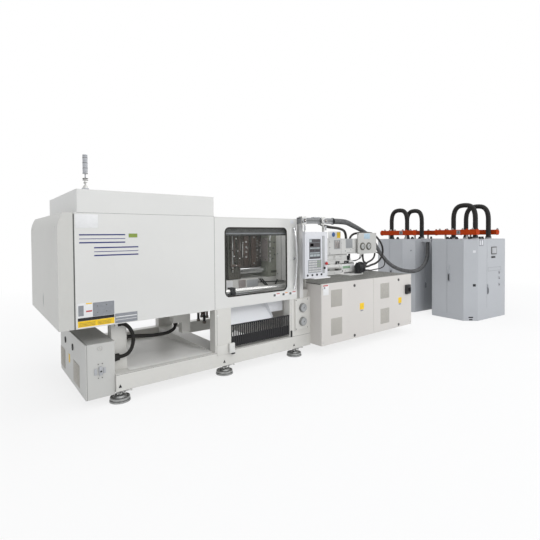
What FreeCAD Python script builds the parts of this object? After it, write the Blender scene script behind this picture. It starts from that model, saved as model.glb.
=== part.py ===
"""Injection moulding machine: clamp unit, injection unit and two control cabinets.

Frame: millimetres, +Z up, floor at Z 0, origin under the middle of the whole
installation. The machine runs along X with its clamp end at -X and its
injection end at +X. The operator stands on the -Y side.
"""
import FreeCAD, Part
import math
import os

V = FreeCAD.Vector
ALONG_X = V(1, 0, 0)
ALONG_Y = V(0, 1, 0)
ALONG_Z = V(0, 0, 1)

# ---------------------------------------------------------------- driving sizes
end_x = -4003.0                 # outer face of the end cover
front_y = -565.0                # front plane of base, covers and gate
machine_depth = 1765.0          # front plane to rear plane of the clamp unit
axis_z = 1390.0                 # height of the mould and screw axis
sheet = 4.0                     # cover sheet
running_gap = 0.3               # between pieces that move on each other
bore_fit = 0.1                  # radial clearance of pins and shafts

# clamp covers and gate
end_cover_length = 126.0
end_cover_flat_z = 1661.0       # top of the upright part of the end face
end_cover_lean = 45.0           # how far the curved shoulder leans in
cover_seam = 8.0
cover_length = 1436.0
cover_bottom_z = 764.0
cover_top_z = 1820.0
hood_inset = 21.0
hood_depth = 1419.0
hood_height = 213.0
hood_edge_radius = 12.0
gate_length = 1264.0
gate_lap = 20.0
gate_drop = 20.0                # gate top below cover top
gate_thickness = 40.0
gate_clearance = 1.0
window_margin = 177.0           # window to the right edge of the gate
window_length = 922.0
window_bottom_z = 896.0
window_height = 794.0
window_radius = 55.0
window_lap = 15.0
pane_thickness = 6.0
grip_width = 86.0
grip_offset = 114.0             # grip bulge to the right edge of the gate
grip_height = 800.0
grip_rise = 15.0
handle_radius = 12.0
handle_foot_width = 16.0
handle_foot_height = 30.0
handle_height = 750.0
handle_bow = 45.0
handle_offset = 54.0            # handle to the right edge of the gate
rear_pull_offset = 90.0         # rear gate's pull to the right edge of the gate
rear_pull_width = 30.0
rear_pull_depth = 25.0
rear_pull_bottom_z = 1180.0
rear_pull_height = 200.0
rear_pull_wall = 8.0
rear_pull_end = 15.0
rear_pull_floor = 11.0
gate_track_width = 40.0
gate_track_height = 76.0
gate_travel = 1000.0

# welded base
base_offset = 481.0             # end face to the left end of the base
foot_gap = 109.0                # floor to the underside of the beams
beam_height = 166.0
beam_width = 120.0
post_1_length = 150.0
post_1_setback = 145.0
post_2_length = 210.0
post_3_length = 368.0
cross_height = 96.0
rail_width = 130.0
rail_spread = 330.0             # rail centre to machine axis
bracket_length = 215.0
bracket_stem_length = 107.0
bracket_step_z = 577.0
bracket_bottom_z = 447.0
bracket_depth = 90.0
gauge_plate_length = 227.0
gauge_plate_rise = 20.0
gauge_plate_bottom_z = 350.0
gauge_plate_top_z = 757.0
gauge_radius = 53.0
gauge_depth = 30.0
upper_gauge_z = 638.0
lower_gauge_z = 455.0
guard_wall_height = 790.0
guard_wall_hole = 330.0
tray_sheet = 2.0
tray_drop = 125.0
foot_radius = 100.0
foot_pad_height = 42.0
foot_cap_radius = 62.0
foot_stud_radius = 14.0
foot_nut_radius = 24.0
foot_nut_height = 16.0
foot_offsets = (51.0, 151.0, 124.0)     # from the left side of each post
foot_inset = 60.0
bed_foot_inset = 450.0

# drop-out opening
grille_bar_count = 30
grille_bar_width = 17.0
grille_bar_depth = 6.0
grille_rail_depth = 16.0
grille_rail_height = 14.0
grille_backing_height = 118.0
grille_top_z = 560.0
grille_bottom_z = 306.0
grille_setback = 9.0
chute_sheet = 3.0
chute_length = 636.0
chute_slope = 40.0
chute_break_z = 781.0
chute_far_y = 560.0
chute_far_rise = 115.0
chute_lip = 45.0

# platens, tie bars and clamp drive
platen_height = 740.0
platen_width = 800.0
platen_thickness = 180.0
platen_edge_radius = 18.0
fixed_platen_gap = 158.0        # fixed platen to the bed
mould_height = 470.0            # closed mould, along X
opening_stroke = 400.0
cylinder_platen_offset = 630.0
tie_bar_radius = 45.0
tie_bar_spread_y = 300.0
tie_bar_spread_z = 267.5
tie_bar_tail = 75.0
nut_radius = 72.0
nut_length = 60.0
ram_radius = 130.0
ram_tail = 210.0
cylinder_radius = 210.0
cylinder_length = 470.0
cylinder_cap_length = 39.0
nozzle_hole_radius = 80.0
register_radius = 62.5
register_depth = 15.0
clamp_hole_pitch = 140.0
clamp_hole_spread = 280.0
clamp_hole_radius = 10.0
clamp_hole_depth = 40.0
robot_hole_pitch_x = 110.0
robot_hole_pitch_y = 280.0
robot_hole_radius = 10.0
robot_hole_depth = 45.0

# mould and ejector
mould_width = 460.0
mould_tall = 480.0
clamp_plate_thickness = 36.0
clamp_plate_overhang = 30.0
fixed_half_length = 210.0
sprue_radius = 12.0
ejector_ring_radius = 240.0
ejector_ring_bore = 145.0
ejector_ring_thickness = 30.0
ejector_ring_gap = 60.0
ejector_rod_radius = 15.0
ejector_rod_spread = 190.0
ejector_rod_entry = 20.0
ejector_stroke = 80.0

# injection bed
bed_gap = 128.0                 # corner post to the left side of the bed
bed_front_step = 214.0          # bed front plane ahead of the clamp front plane
bed_length = 2087.0
bed_depth = 1750.0
bed_bottom_z = 129.0
bed_top_z = 950.0
bed_panel_thickness = 20.0
bed_panel_seam = 3.0
left_panel_length = 1097.0
grating_thickness = 10.0
vent_length = 220.0
vent_height = 230.0
vent_depth = 3.0
left_vent_offset = 180.0
right_vent_offset = 1265.0
upper_vent_z = 625.0
lower_vent_z = 240.0
switch_offset = 1966.0
switch_z = 710.0
switch_base_width = 96.0
switch_base_height = 116.0
switch_base_depth = 26.0
switch_knob_radius = 34.0
switch_knob_depth = 42.0
switch_grip_width = 18.0

# injection unit
guide_rail_radius = 25.0
guide_rail_z = 1041.0
guide_rail_spread = 300.0
guide_rail_offset = 535.0       # left side of the bed to the rail
guide_rail_length = 1050.0
rail_block_length = 60.0
rail_block_width = 80.0
rail_block_rise = 32.0
carriage_offset = 895.0
carriage_length = 620.0
carriage_width = 700.0
carriage_plate_z = 1130.0
carriage_plate_thickness = 40.0
seat_depth = 10.0               # sprue seat below the mould's back face
bearing_length = 120.0
bearing_width = 90.0
bearing_drop = 20.0
bearing_offset = 60.0           # left end of the carriage to the left bearings
cheek_inset = 35.0              # right end of the carriage to the bearing cheeks
cheek_length = 314.0
cheek_reach = 112.5             # rail centre to the cheek's outer face
cheek_drop = 146.0              # carriage plate to the bottom of the cheek
skid_length = 491.0
skid_height = 60.0
skid_width = 71.0
pull_cylinder_radius = 37.0
pull_cylinder_z = 1083.0
pull_cylinder_reach = 80.0      # rail centre to the pull cylinder
board_overhang = 200.0          # past the right end of the carriage
board_length = 594.0
board_front_y = -300.0
board_rear_y = -35.0
board_corner = (260.0, 210.0)   # cut off at the front right
board_thickness = 8.0
barrel_radius = 55.0
screw_radius = 22.5
screw_clearance = 0.5
barrel_length = 1410.0
barrel_tail = 170.0             # barrel inside the feed housing
band_count = 6
band_radius = 66.0
band_length = 90.0
nozzle_tip_radius = 14.0
nozzle_length = 90.0
nozzle_bore_radius = 3.0
feed_housing_length = 180.0
feed_housing_width = 300.0
feed_housing_height = 300.0
feed_throat_radius = 40.0
barrel_throat_radius = 20.0
throat_floor = 15.0             # barrel to the floor of the wide throat
feed_setback = 347.0            # left end of the carriage to the feed housing
casing_length = 510.0
casing_height = 100.0
yoke_length = 60.0
yoke_half_width = 240.0
yoke_half_height = 80.0
guard_lap = 69.0                # guard behind the drive plate
guard_length = 1353.0
guard_half_width = 337.0
guard_bottom_z = 1278.0
guard_top_z = 1534.0
guard_sheet = 3.0
guard_slot_offsets = (568.0, 518.0)
guard_hose_holes = ((274.0, 22.0, 30.0), (185.0, 18.0, 32.0))  # from its open end, y, radius
guard_slot_width = 14.0
guard_slot_rise = 95.0
guard_slot_height = 105.0
sign_plate_offset = 607.0
sign_plate_length = 295.0
sign_plate_height = 120.0
drive_gap = 194.0               # feed housing to the drive plate
drive_plate_length = 501.0
drive_plate_front_y = -70.0
drive_plate_thickness = 20.0
drive_plate_bottom_z = 1270.0
drive_plate_top_z = 1630.0
drive_plate_radius = 8.0
head_offset = 80.0              # left edge of the drive plate to the cross-head
head_length = 350.0
head_half_width = 250.0
head_half_height = 110.0
head_top_rise = 20.0
arm_length = 60.0
arm_inset = 30.0
pull_radius = 60.0
pull_spread = 175.0
ram_bore_depth = 299.0
injection_ram_radius = 55.0
injection_ram_length = 180.0
injection_ram_recess = 19.0
injection_stroke = 120.0
screw_socket_depth = 30.0
screw_shank_radius = 25.0
motor_radius = 50.0
motor_height = 172.0
motor_flange = 14.0
motor_flange_radius = 56.0
motor_cap_radius = 36.0
motor_cap_height = 20.0
motor_places = ((250.0, -190.0), (70.0, -95.0))  # from the right end of the board, y
port_block_length = 70.0
port_block_width = 100.0
port_block_height = 155.0
port_block_rise = 12.0          # board to the port block
link_width = 40.0
link_height = 50.0
link_rise = 77.0                # board to the link between the motors

# operator panel
corner_post_gap = 46.0          # gate to the corner post
corner_post_length = 60.0
corner_post_depth = 50.0
panel_bar_z = 1784.5
panel_bar_height = 75.0
panel_bar_depth = 40.0
panel_bar_y = -740.0
panel_bar_lead = 136.0          # bar end to the corner post
panel_bar_length = 579.0
panel_lead = 93.0               # left edge of the panel to the corner post
panel_length = 410.0
panel_depth = 50.0
panel_bottom_z = 1043.0
panel_top_z = 1640.0
panel_edge_radius = 6.0
hanger_depth = 64.0
hanger_wall = 14.0
hanger_length = 76.0
hanger_offsets = (18.0, 353.0)  # from the left edge of the panel
hanger_knob_radius = 30.0
hanger_knob_depth = 26.0
hanger_knob_lead = 44.0         # knob to its post
hanger_post_radii = (7.0, 16.0)
panel_travel = 150.0
screen_offset = 72.0
screen_length = 207.0
screen_bottom_z = 1291.0
screen_height = 257.0
screen_recess = 5.0
screen_thickness = 3.0
stop_offset = 377.0
stop_z = 1222.0
stop_radius = 19.0
stop_depth = 24.0
stop_stem_radius = 8.0
stop_travel = 5.0
selector_offset = 346.0
selector_z = 1164.0
selector_radius = 13.0
selector_depth = 20.0
button_start = 41.0
button_pitch = 83.0
button_count = 4
button_z = 1083.0
button_radius = 12.0
button_rise = 8.0
button_travel = 4.0
button_depth = 14.0             # length of the button inside the panel

# electrical box at the clamp end
e_box_offset = 216.0
e_box_front_step = 27.0         # behind the front plane
e_box_depth = 1195.0
e_box_bottom_z = 82.0
e_box_top_z = 598.0
e_box_edge_radius = 8.0

# signal lamp
signal_x_offset = 246.0
signal_y_offset = 45.0
signal_base_radius = 36.0
signal_base_height = 40.0
signal_pole_radius = 7.0
knuckle_z = 2124.0
knuckle_radius = 13.0
knuckle_width = 12.0
lamp_bottom_z = 2178.0
lamp_height = 175.0
lamp_radius = 22.0

# control cabinets
cabinet_turn = -5.0             # degrees about Z, both cabinets
cabinet_offsets = {"front": (1422.8, -1093.7), "rear": (1292.8, 84.3)}     # from the bed's end
cabinet_length = 1385.0
cabinet_depth = 940.0
cabinet_height = 1500.0
cabinet_corner_length = 210.0
cabinet_corner_depth = 150.0
cabinet_wall = 20.0
cabinet_floor = 60.0
door_gap = 0.9
side_door_start = 158.0
side_door_length = 322.0
side_door_bottom_z = 92.0
side_door_top_gap = 22.0
front_door_start = 514.0
front_door_length = 650.0
front_door_bottom_z = 210.0
front_door_top_gap = 30.0
door_handle_width = 24.0
door_handle_height = 130.0
door_handle_depth = 16.0
door_handle_inset = 34.0
door_handle_z = 880.0
front_handle_drop = 360.0
module_plate_thickness = 4.0
module_rows = 3
module_depth = 90.0
module_bottom_z = 330.0
module_pitch = 360.0
module_sizes = ((360.0, 340.0, 230.0, 1.0), (760.0, 270.0, 190.0, 0.7))
module_plate_inset = 300.0
module_plate_setback = 60.0
frame_beam_size = 98.0
frame_beam_gap = 80.0           # roof to the lifting beams
frame_left_x = 140.0
frame_right_x = 1010.0
frame_front_y = -20.0
frame_right_setback = 90.0
frame_rear_y = 785.0
frame_post_radius = 18.0
frame_post_inset = 190.0
frame_cap_radius = 58.0
frame_cap_length = 16.0

junction_x = 183.0              # wiring box between the cabinets, in the front one's frame
junction_length = 96.0
junction_height = 60.0

# hoses and conduits
loop_diameter = 90.0
loop_spans = {                  # x, front y, rear y, rise over the roof, in the cabinet's own frame
    "front": ((390.0, 150.0, 585.0, 636.0), (880.0, 167.0, 616.0, 631.0)),
    "rear": ((360.0, 312.0, 717.0, 606.0), (722.0, 213.0, 587.0, 600.0)),
}
trunk_diameter = 76.0
base_conduit_diameter = 38.0
gland_radius = 37.0
gland_length = 58.0

# ---------------------------------------------------------------- stations
rear_y = front_y + machine_depth
axis_y = (front_y + rear_y) / 2
cover_x0 = end_x + end_cover_length + cover_seam
cover_x1 = cover_x0 + cover_length
gate_x0 = cover_x1 - gate_lap
gate_x1 = gate_x0 + gate_length
gate_y0 = front_y + sheet + gate_clearance
gate_y1 = gate_y0 + gate_thickness
gate_z0 = cover_bottom_z + running_gap
gate_z1 = cover_top_z - gate_drop
window_x1 = gate_x1 - window_margin
window_x0 = window_x1 - window_length
track_y0 = gate_y1 + 5 * gate_clearance
inner_front_y = track_y0
corner_post_x0 = gate_x1 + corner_post_gap
base_x0 = end_x + base_offset
bed_x0 = corner_post_x0 + corner_post_length + bed_gap
bed_x1 = bed_x0 + bed_length
beam_top_z = foot_gap + beam_height
post_1_x1 = base_x0 + post_1_length
post_2_x0 = cover_x1
post_2_x1 = post_2_x0 + post_2_length
post_3_x1 = bed_x0
post_3_x0 = post_3_x1 - post_3_length
cross_top_z = cover_bottom_z + cross_height
platen_z0 = axis_z - platen_height / 2
fixed_x1 = bed_x0 - fixed_platen_gap
fixed_x0 = fixed_x1 - platen_thickness
moving_x1 = fixed_x0 - mould_height
moving_x0 = moving_x1 - platen_thickness
cylinder_platen_x0 = end_x + cylinder_platen_offset
cylinder_platen_x1 = cylinder_platen_x0 + platen_thickness
bed_y0 = front_y - bed_front_step
bed_y1 = bed_y0 + bed_depth
housing_y0 = bed_y0 + bed_panel_thickness
grating_z0 = bed_top_z - grating_thickness
carriage_x0 = bed_x0 + carriage_offset
carriage_x1 = carriage_x0 + carriage_length
cheek_x1 = carriage_x1 - cheek_inset
cheek_x0 = cheek_x1 - cheek_length
board_x1 = carriage_x1 + board_overhang
board_z0 = bed_top_z + running_gap
board_z1 = board_z0 + board_thickness
plate_top_z = carriage_plate_z + carriage_plate_thickness
feed_x0 = carriage_x0 + feed_setback
feed_x1 = feed_x0 + feed_housing_length
throat_x = (feed_x0 + feed_x1) / 2
barrel_x1 = feed_x0 + barrel_tail
barrel_x0 = barrel_x1 - barrel_length
drive_plate_x0 = feed_x1 + drive_gap
drive_plate_x1 = drive_plate_x0 + drive_plate_length
head_x0 = drive_plate_x0 + head_offset
head_x1 = head_x0 + head_length
guard_x1 = drive_plate_x0 + guard_lap
guard_x0 = guard_x1 - guard_length
ram_x0 = drive_plate_x0 + injection_ram_recess
bar_x0 = corner_post_x0 - panel_bar_lead
bar_x1 = bar_x0 + panel_bar_length
panel_x0 = corner_post_x0 - panel_lead
panel_x1 = panel_x0 + panel_length
panel_y1 = panel_bar_y + panel_bar_depth / 2
panel_y0 = panel_y1 - panel_depth
e_box_x0 = end_x + e_box_offset
hood_x0 = cover_x0 + hood_inset
hood_top_z = cover_top_z + hood_height
switch_x = bed_x0 + switch_offset
throat_z = axis_z + barrel_radius + throat_floor
frame_beam_z = cabinet_height + frame_beam_gap
cabinet_origins = {which: (bed_x1 + x, y) for which, (x, y) in cabinet_offsets.items()}


# ---------------------------------------------------------------- helpers
def block(x0, x1, y0, y1, z0, z1):
    return Part.makeBox(x1 - x0, y1 - y0, z1 - z0, V(x0, y0, z0))


def rod(radius, start, end):
    start, end = V(*start), V(*end)
    return Part.makeCylinder(radius, (end - start).Length, start, end - start)


def ring(outer, inner, start, end):
    return rod(outer, start, end).cut(rod(inner, start, end))


def cone(radius_0, radius_1, start, end):
    start, end = V(*start), V(*end)
    return Part.makeCone(radius_0, radius_1, (end - start).Length, start, end - start)


def joined(*shapes):
    return shapes[0].multiFuse(list(shapes[1:])).removeSplitter()


def without(shape, *tools):
    return shape.cut(list(tools))


def group(shapes):
    return Part.makeCompound(list(shapes))


def prism(points, travel):
    corners = [V(*p) for p in points]
    return Part.Face(Part.makePolygon(corners + corners[:1])).extrude(V(*travel))


def across(shape):
    """The shape's mirror image on the other side of the machine axis."""
    return shape.mirror(V(0, axis_y, 0), ALONG_Y)


def softened(shape, radius, direction):
    """Fillets every straight edge that runs along the direction."""
    edges = []
    for edge in shape.Edges:
        if isinstance(edge.Curve, Part.Line) and abs(edge.tangentAt(0).dot(direction)) > 0.999:
            edges.append(edge)
    return shape.makeFillet(radius, edges)


def four_corners(spread_y, spread_z):
    return [(axis_y + i * spread_y, axis_z + j * spread_z) for i in (-1, 1) for j in (-1, 1)]


def bent_tube(label, points, diameter):
    """A tube along straight runs joined by arcs as large as the runs allow."""
    corners = [V(*p) for p in points]
    edges = []
    radii = []
    here = corners[0]
    for before, corner, after in zip(corners, corners[1:], corners[2:]):
        back, ahead = before - corner, after - corner
        reach = 0.45 * min(back.Length, ahead.Length)
        half_turn = (math.pi - back.getAngle(ahead)) / 2
        radius = reach / math.tan(half_turn)
        inward = (V(back).normalize() + V(ahead).normalize()).normalize()
        start = corner + V(back).normalize() * reach
        end = corner + V(ahead).normalize() * reach
        middle = corner + inward * (radius / math.cos(half_turn) - radius)
        edges.append(Part.LineSegment(here, start).toShape())
        edges.append(Part.Arc(start, middle, end).toShape())
        radii.append(radius)
        here = end
    edges.append(Part.LineSegment(here, corners[-1]).toShape())
    path = Part.Wire(edges)
    section = Part.Wire([Part.makeCircle(diameter / 2, corners[0], corners[1] - corners[0])])
    tube = path.makePipeShell([section], True, False)
    expected = math.pi * diameter ** 2 / 4 * path.Length
    print(f"{label}: length {path.Length:.0f}, volume ratio {tube.Volume / expected:.4f}, radii",
          " ".join(f"{r:.0f}" for r in radii))
    return tube


def save(name, shape):
    if not shape.isValid():
        raise ValueError(name + " is not valid")
    shape.exportStep(f"parts/{name}.step")


# ---------------------------------------------------------------- base
def clamp_base():
    front_beam = block(base_x0, bed_x0, front_y, front_y + beam_width, foot_gap, beam_top_z)
    pieces = [front_beam, across(front_beam)]
    stands = ((base_x0, base_x0 + post_1_length, post_1_setback),
              (post_2_x0, post_2_x1, 0.0),
              (post_3_x0, post_3_x1, 0.0))
    for x0, x1, setback in stands:
        y0 = front_y + setback
        post = block(x0, x1, y0, y0 + beam_width, beam_top_z, cover_bottom_z)
        pieces += [post, across(post)]
        pieces.append(block(x0, x1, front_y, rear_y, foot_gap, beam_top_z))
        pieces.append(block(x0, x1, inner_front_y, 2 * axis_y - inner_front_y,
                            cover_bottom_z, cross_top_z))
    rail_y = axis_y - rail_spread
    rail = block(base_x0, bed_x0, rail_y - rail_width / 2, rail_y + rail_width / 2,
                 cross_top_z, platen_z0)
    pieces += [rail, across(rail)]
    bracket_x1 = post_2_x0 - 83.0
    bracket_y0 = rail_y - rail_width / 2 - 33.0
    pieces.append(block(bracket_x1 - bracket_length, bracket_x1, bracket_y0,
                        bracket_y0 + bracket_depth, bracket_step_z, cross_top_z))
    pieces.append(block(bracket_x1 - bracket_stem_length, bracket_x1, bracket_y0,
                        bracket_y0 + bracket_depth, bracket_bottom_z, bracket_step_z))
    gauge_x1 = post_3_x1 - 58.0
    pieces.append(block(gauge_x1 - gauge_plate_length, gauge_x1, front_y - gauge_plate_rise,
                        front_y, gauge_plate_bottom_z, gauge_plate_top_z))
    socket_x0 = base_x0 + 17.0
    pieces.append(block(socket_x0, socket_x0 + 25, inner_front_y + 20, inner_front_y + 70,
                        cover_bottom_z - 42, cover_bottom_z))
    wall_y0 = inner_front_y + gate_track_width
    wall = block(bed_x0 - 3 * sheet, bed_x0 - 2 * sheet, wall_y0, 2 * axis_y - wall_y0,
                 cross_top_z, cross_top_z + guard_wall_height)
    hole = rod(guard_wall_hole, (bed_x0 - 100, axis_y, axis_z), (bed_x0 + 100, axis_y, axis_z))
    pieces.append(wall.cut(hole))
    rear_post = block(corner_post_x0, corner_post_x0 + corner_post_length, front_y,
                      front_y + corner_post_depth, cover_bottom_z, cover_top_z)
    pieces.append(across(rear_post))
    return joined(*pieces)


def foot(x, y, top_z):
    pad = cone(foot_radius, foot_radius - 8, (x, y, 0), (x, y, foot_pad_height))
    groove = ring(foot_radius + 5, foot_radius - 14, (x, y, 16), (x, y, 24))
    cap = cone(foot_cap_radius, foot_cap_radius - 12, (x, y, foot_pad_height),
               (x, y, foot_pad_height + 14))
    stud = rod(foot_stud_radius, (x, y, foot_pad_height), (x, y, top_z))
    nut_z = foot_pad_height + 26
    nut = rod(foot_nut_radius, (x, y, nut_z), (x, y, nut_z + foot_nut_height))
    plate = block(x - 45, x + 45, y - 45, y + 45, top_z - 12, top_z)
    return joined(pad.cut(groove), cap, stud, nut, plate)


def levelling_feet():
    feet = []
    for post_x0, offset in zip((base_x0, post_2_x0, post_3_x0), foot_offsets):
        for y in (front_y + foot_inset, rear_y - foot_inset):
            feet.append(foot(post_x0 + offset, y, foot_gap))
    for x in (bed_x0 + bed_foot_inset, bed_x1 - bed_foot_inset):
        for y in (bed_y0 + bed_foot_inset, bed_y1 - bed_foot_inset):
            feet.append(foot(x, y, bed_bottom_z))
    return group(feet)


def drip_tray():
    """Folded tray between the first two posts: a flange on the front beam, a
    floor that falls to the rear beam and two side lips."""
    x0, x1 = post_1_x1, post_2_x0
    y_lip = front_y + beam_width - 60
    y_fold = front_y + beam_width
    y_rear = rear_y - beam_width
    z = beam_top_z
    t = tray_sheet
    profile = [(x0, y_lip, z), (x0, y_fold, z), (x0, y_rear, z - tray_drop),
               (x0, y_rear, z - tray_drop + t), (x0, y_fold, z + t), (x0, y_lip, z + t)]
    floor = prism(profile, (x1 - x0, 0, 0))
    lip = [(x0, y_fold, z), (x0, y_rear, z - tray_drop), (x0, y_rear, z), (x0, y_fold, z + t)]
    left = prism(lip, (t, 0, 0))
    right = left.translated(V(x1 - x0 - t, 0, 0))
    return joined(floor, left, right)


def drop_chute():
    """Folded chute: a steep apron to the drop-out opening, a shallow floor under
    the mould, side walls, and a flat shield that closes the bay beside it."""
    x0, x1 = post_2_x1, post_2_x1 + chute_length
    run = math.tan(math.radians(chute_slope))
    y0 = front_y + grille_setback + grille_rail_depth
    z0 = grille_top_z - grille_rail_height
    y1 = y0 + (chute_break_z - z0) / run
    z1 = chute_break_z
    y2, z2 = chute_far_y, chute_break_z + chute_far_rise
    t = chute_sheet
    profile = [(x0, y0, z0), (x0, y1, z1), (x0, y2, z2), (x0, y2, z2 + chute_lip),
               (x0, y2 - t, z2 + chute_lip), (x0, y2 - t, z2 + t), (x0, y1 - t, z1 + t),
               (x0, y0, z0 + 1.4 * t)]
    floor = prism(profile, (x1 - x0, 0, 0))
    wall_profile = [(x0, y0, z0), (x0, y1, z1), (x0, y1, cover_bottom_z + 50),
                    (x0, y0 + 120, cover_bottom_z - 4), (x0, y0, z0 + 40)]
    left = prism(wall_profile, (t, 0, 0))
    right = left.translated(V(x1 - x0 - t, 0, 0))
    shield = block(x1 - t, post_3_x0, y0 + 120, y0 + 120 + t, z0 + 60, cover_bottom_z)
    return joined(floor, left, right, shield)


def drop_grille():
    """Comb grille: a top rail between the posts, bars hanging from it and a low backing."""
    x0, x1 = post_2_x1, post_3_x0
    y0 = front_y + grille_setback
    top = block(x0, x1, y0, y0 + grille_rail_depth, grille_top_z - grille_rail_height, grille_top_z)
    pitch = (x1 - x0) / grille_bar_count
    bars = []
    for i in range(grille_bar_count):
        centre = x0 + (i + 0.5) * pitch
        bars.append(block(centre - grille_bar_width / 2, centre + grille_bar_width / 2, y0,
                          y0 + grille_bar_depth, grille_bottom_z, grille_top_z))
    backing = block(x0, x1, y0 + grille_bar_depth, y0 + 1.5 * grille_bar_depth, grille_bottom_z,
                    grille_bottom_z + grille_backing_height)
    return joined(top, backing, *bars)


def pressure_gauges():
    x = post_3_x1 - 58.0 - gauge_plate_length / 2 + 10
    y = front_y - gauge_plate_rise
    dials = []
    for z in (upper_gauge_z, lower_gauge_z):
        case = rod(gauge_radius, (x, y - gauge_depth, z), (x, y, z))
        face = rod(gauge_radius - 6, (x, y - gauge_depth - 1, z), (x, y - gauge_depth + 5, z))
        flange = rod(gauge_radius + 7, (x, y - 4, z), (x, y, z))
        dials.append(joined(case, flange).cut(face))
    return group(dials)


# ---------------------------------------------------------------- covers
def clamp_cover():
    """Folded front, roof and rear skins with the two gate headers."""
    front = block(cover_x0, cover_x1, front_y, front_y + sheet, cover_bottom_z, cover_top_z)
    roof = block(cover_x0, cover_x1, front_y, rear_y, cover_top_z - sheet, cover_top_z)
    header = block(cover_x0, corner_post_x0, track_y0, track_y0 + gate_track_width,
                   cover_top_z - gate_track_height, cover_top_z - sheet)
    joggle = block(cover_x0 - 24, cover_x0 + 10, front_y + sheet, front_y + 2 * sheet,
                   cover_bottom_z + 20, cover_top_z - 20)
    return joined(front, across(front), roof, header, across(header), joggle, across(joggle))


def end_cover_profile(inset):
    """Side outline of the end cover, as a closed wire in the front plane."""
    x0, x1 = end_x + inset, cover_x0 - cover_seam
    z0, z1 = cover_bottom_z, cover_top_z - inset
    shoulder = V(x0, front_y, end_cover_flat_z)
    brow = V(x0 + end_cover_lean, front_y, z1)
    rise = z1 - end_cover_flat_z
    radius = (end_cover_lean ** 2 + rise ** 2) / (2 * end_cover_lean)
    angle = math.asin(rise / radius) / 2
    centre = shoulder + V(radius, 0, 0)
    middle = centre + V(-radius * math.cos(angle), 0, radius * math.sin(angle))
    corners = [brow, V(x1, front_y, z1), V(x1, front_y, z0), V(x0, front_y, z0), shoulder]
    edges = [Part.Arc(shoulder, middle, brow).toShape()]
    edges += [Part.LineSegment(a, b).toShape() for a, b in zip(corners, corners[1:])]
    return Part.Wire(edges)


def end_cover():
    """Cap with a curved shoulder, open to the clamp unit and underneath."""
    outer = Part.Face(end_cover_profile(0)).extrude(V(0, machine_depth, 0))
    hollow = Part.Face(end_cover_profile(sheet)).extrude(V(0, machine_depth - 2 * sheet, 0))
    hollow.translate(V(0, sheet, 0))
    seam_x = cover_x0 - cover_seam
    mouth = block(seam_x - 40, seam_x, front_y + sheet, rear_y - sheet,
                  cover_bottom_z, cover_top_z - sheet)
    skirt = block(end_x + sheet, seam_x, front_y + sheet, rear_y - sheet,
                  cover_bottom_z - 1, cover_bottom_z + 1)
    return without(outer, hollow, mouth, skirt)


def top_hood():
    hood = block(hood_x0, cover_x1, front_y, front_y + hood_depth, cover_top_z, hood_top_z)
    return softened(hood, hood_edge_radius, ALONG_Z)


def gate_slab():
    return block(gate_x0, gate_x1, gate_y0, gate_y1, gate_z0, gate_z1)


def window_solid(lap, y0, y1):
    pane = block(window_x0 - lap, window_x1 + lap, y0, y1, window_bottom_z - lap,
                 window_bottom_z + window_height + lap)
    return softened(pane, window_radius + lap, ALONG_Y)


def gate_panel():
    """Folded sliding gate with its window opening, pan back and grip bulge."""
    pan = block(gate_x0 + 30, gate_x1 - 30, gate_y0 + sheet, gate_y1, gate_z0 + 30, gate_z1 - 30)
    frame = window_solid(30, gate_y0 + sheet, gate_y1)
    opening = window_solid(0, gate_y0 - 1, gate_y1 + 1)
    seat = window_solid(window_lap, gate_y0 + sheet, gate_y1 + 1)
    grip_x = gate_x1 - grip_offset
    grip_z = window_bottom_z + 10
    half = grip_width / 2
    left, right = V(grip_x - half, gate_y0, grip_z), V(grip_x + half, gate_y0, grip_z)
    crest = V(grip_x, gate_y0 - grip_rise, grip_z)
    outline = Part.Wire([Part.Arc(left, crest, right).toShape(),
                         Part.LineSegment(right, left).toShape()])
    bulge = Part.Face(outline).extrude(V(0, 0, grip_height - 20))
    body = joined(gate_slab().cut(pan), frame)
    return joined(without(body, opening, seat), bulge)


def gate_window():
    return window_solid(window_lap, gate_y0 + sheet, gate_y0 + sheet + pane_thickness)


def gate_handle():
    """Long bowed pull handle on two stand-offs."""
    x = gate_x1 - handle_offset
    z0 = window_bottom_z + 35
    z1 = z0 + handle_height
    foot_y = gate_y0 - 20
    bow_radius = (handle_height ** 2 / 4 + handle_bow ** 2) / (2 * handle_bow)
    half_angle = math.degrees(math.asin(handle_height / 2 / bow_radius))
    bar = Part.makeTorus(bow_radius, handle_radius, V(), ALONG_Z, 0, 360, 2 * half_angle)
    bar.rotate(V(), ALONG_Z, 270 - half_angle)
    bar.rotate(V(), ALONG_Y, 90)
    bar.translate(V(x, foot_y - handle_bow + bow_radius, (z0 + z1) / 2))
    half = handle_foot_width / 2
    feet = [block(x - half, x + half, foot_y - 6, gate_y0, z - handle_foot_height / 2,
                  z + handle_foot_height / 2) for z in (z0 + 22, z1 - 22)]
    return joined(bar, *feet)


def rear_gate():
    """Plain sliding gate on the far side, folded like the front one."""
    pan = block(gate_x0 + 30, gate_x1 - 30, gate_y0 + sheet, gate_y1, gate_z0 + 30, gate_z1 - 30)
    slab = gate_slab().cut(pan)
    x0 = gate_x1 - rear_pull_offset
    x1 = x0 + rear_pull_width
    z0, z1 = rear_pull_bottom_z, rear_pull_bottom_z + rear_pull_height
    pull = block(x0, x1, gate_y0 - rear_pull_depth, gate_y0, z0, z1)
    recess = block(x0 + rear_pull_wall, x1 - rear_pull_wall,
                   gate_y0 - rear_pull_depth + rear_pull_floor, gate_y0,
                   z0 + rear_pull_end, z1 - rear_pull_end)
    return across(joined(slab, pull.cut(recess)))


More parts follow.
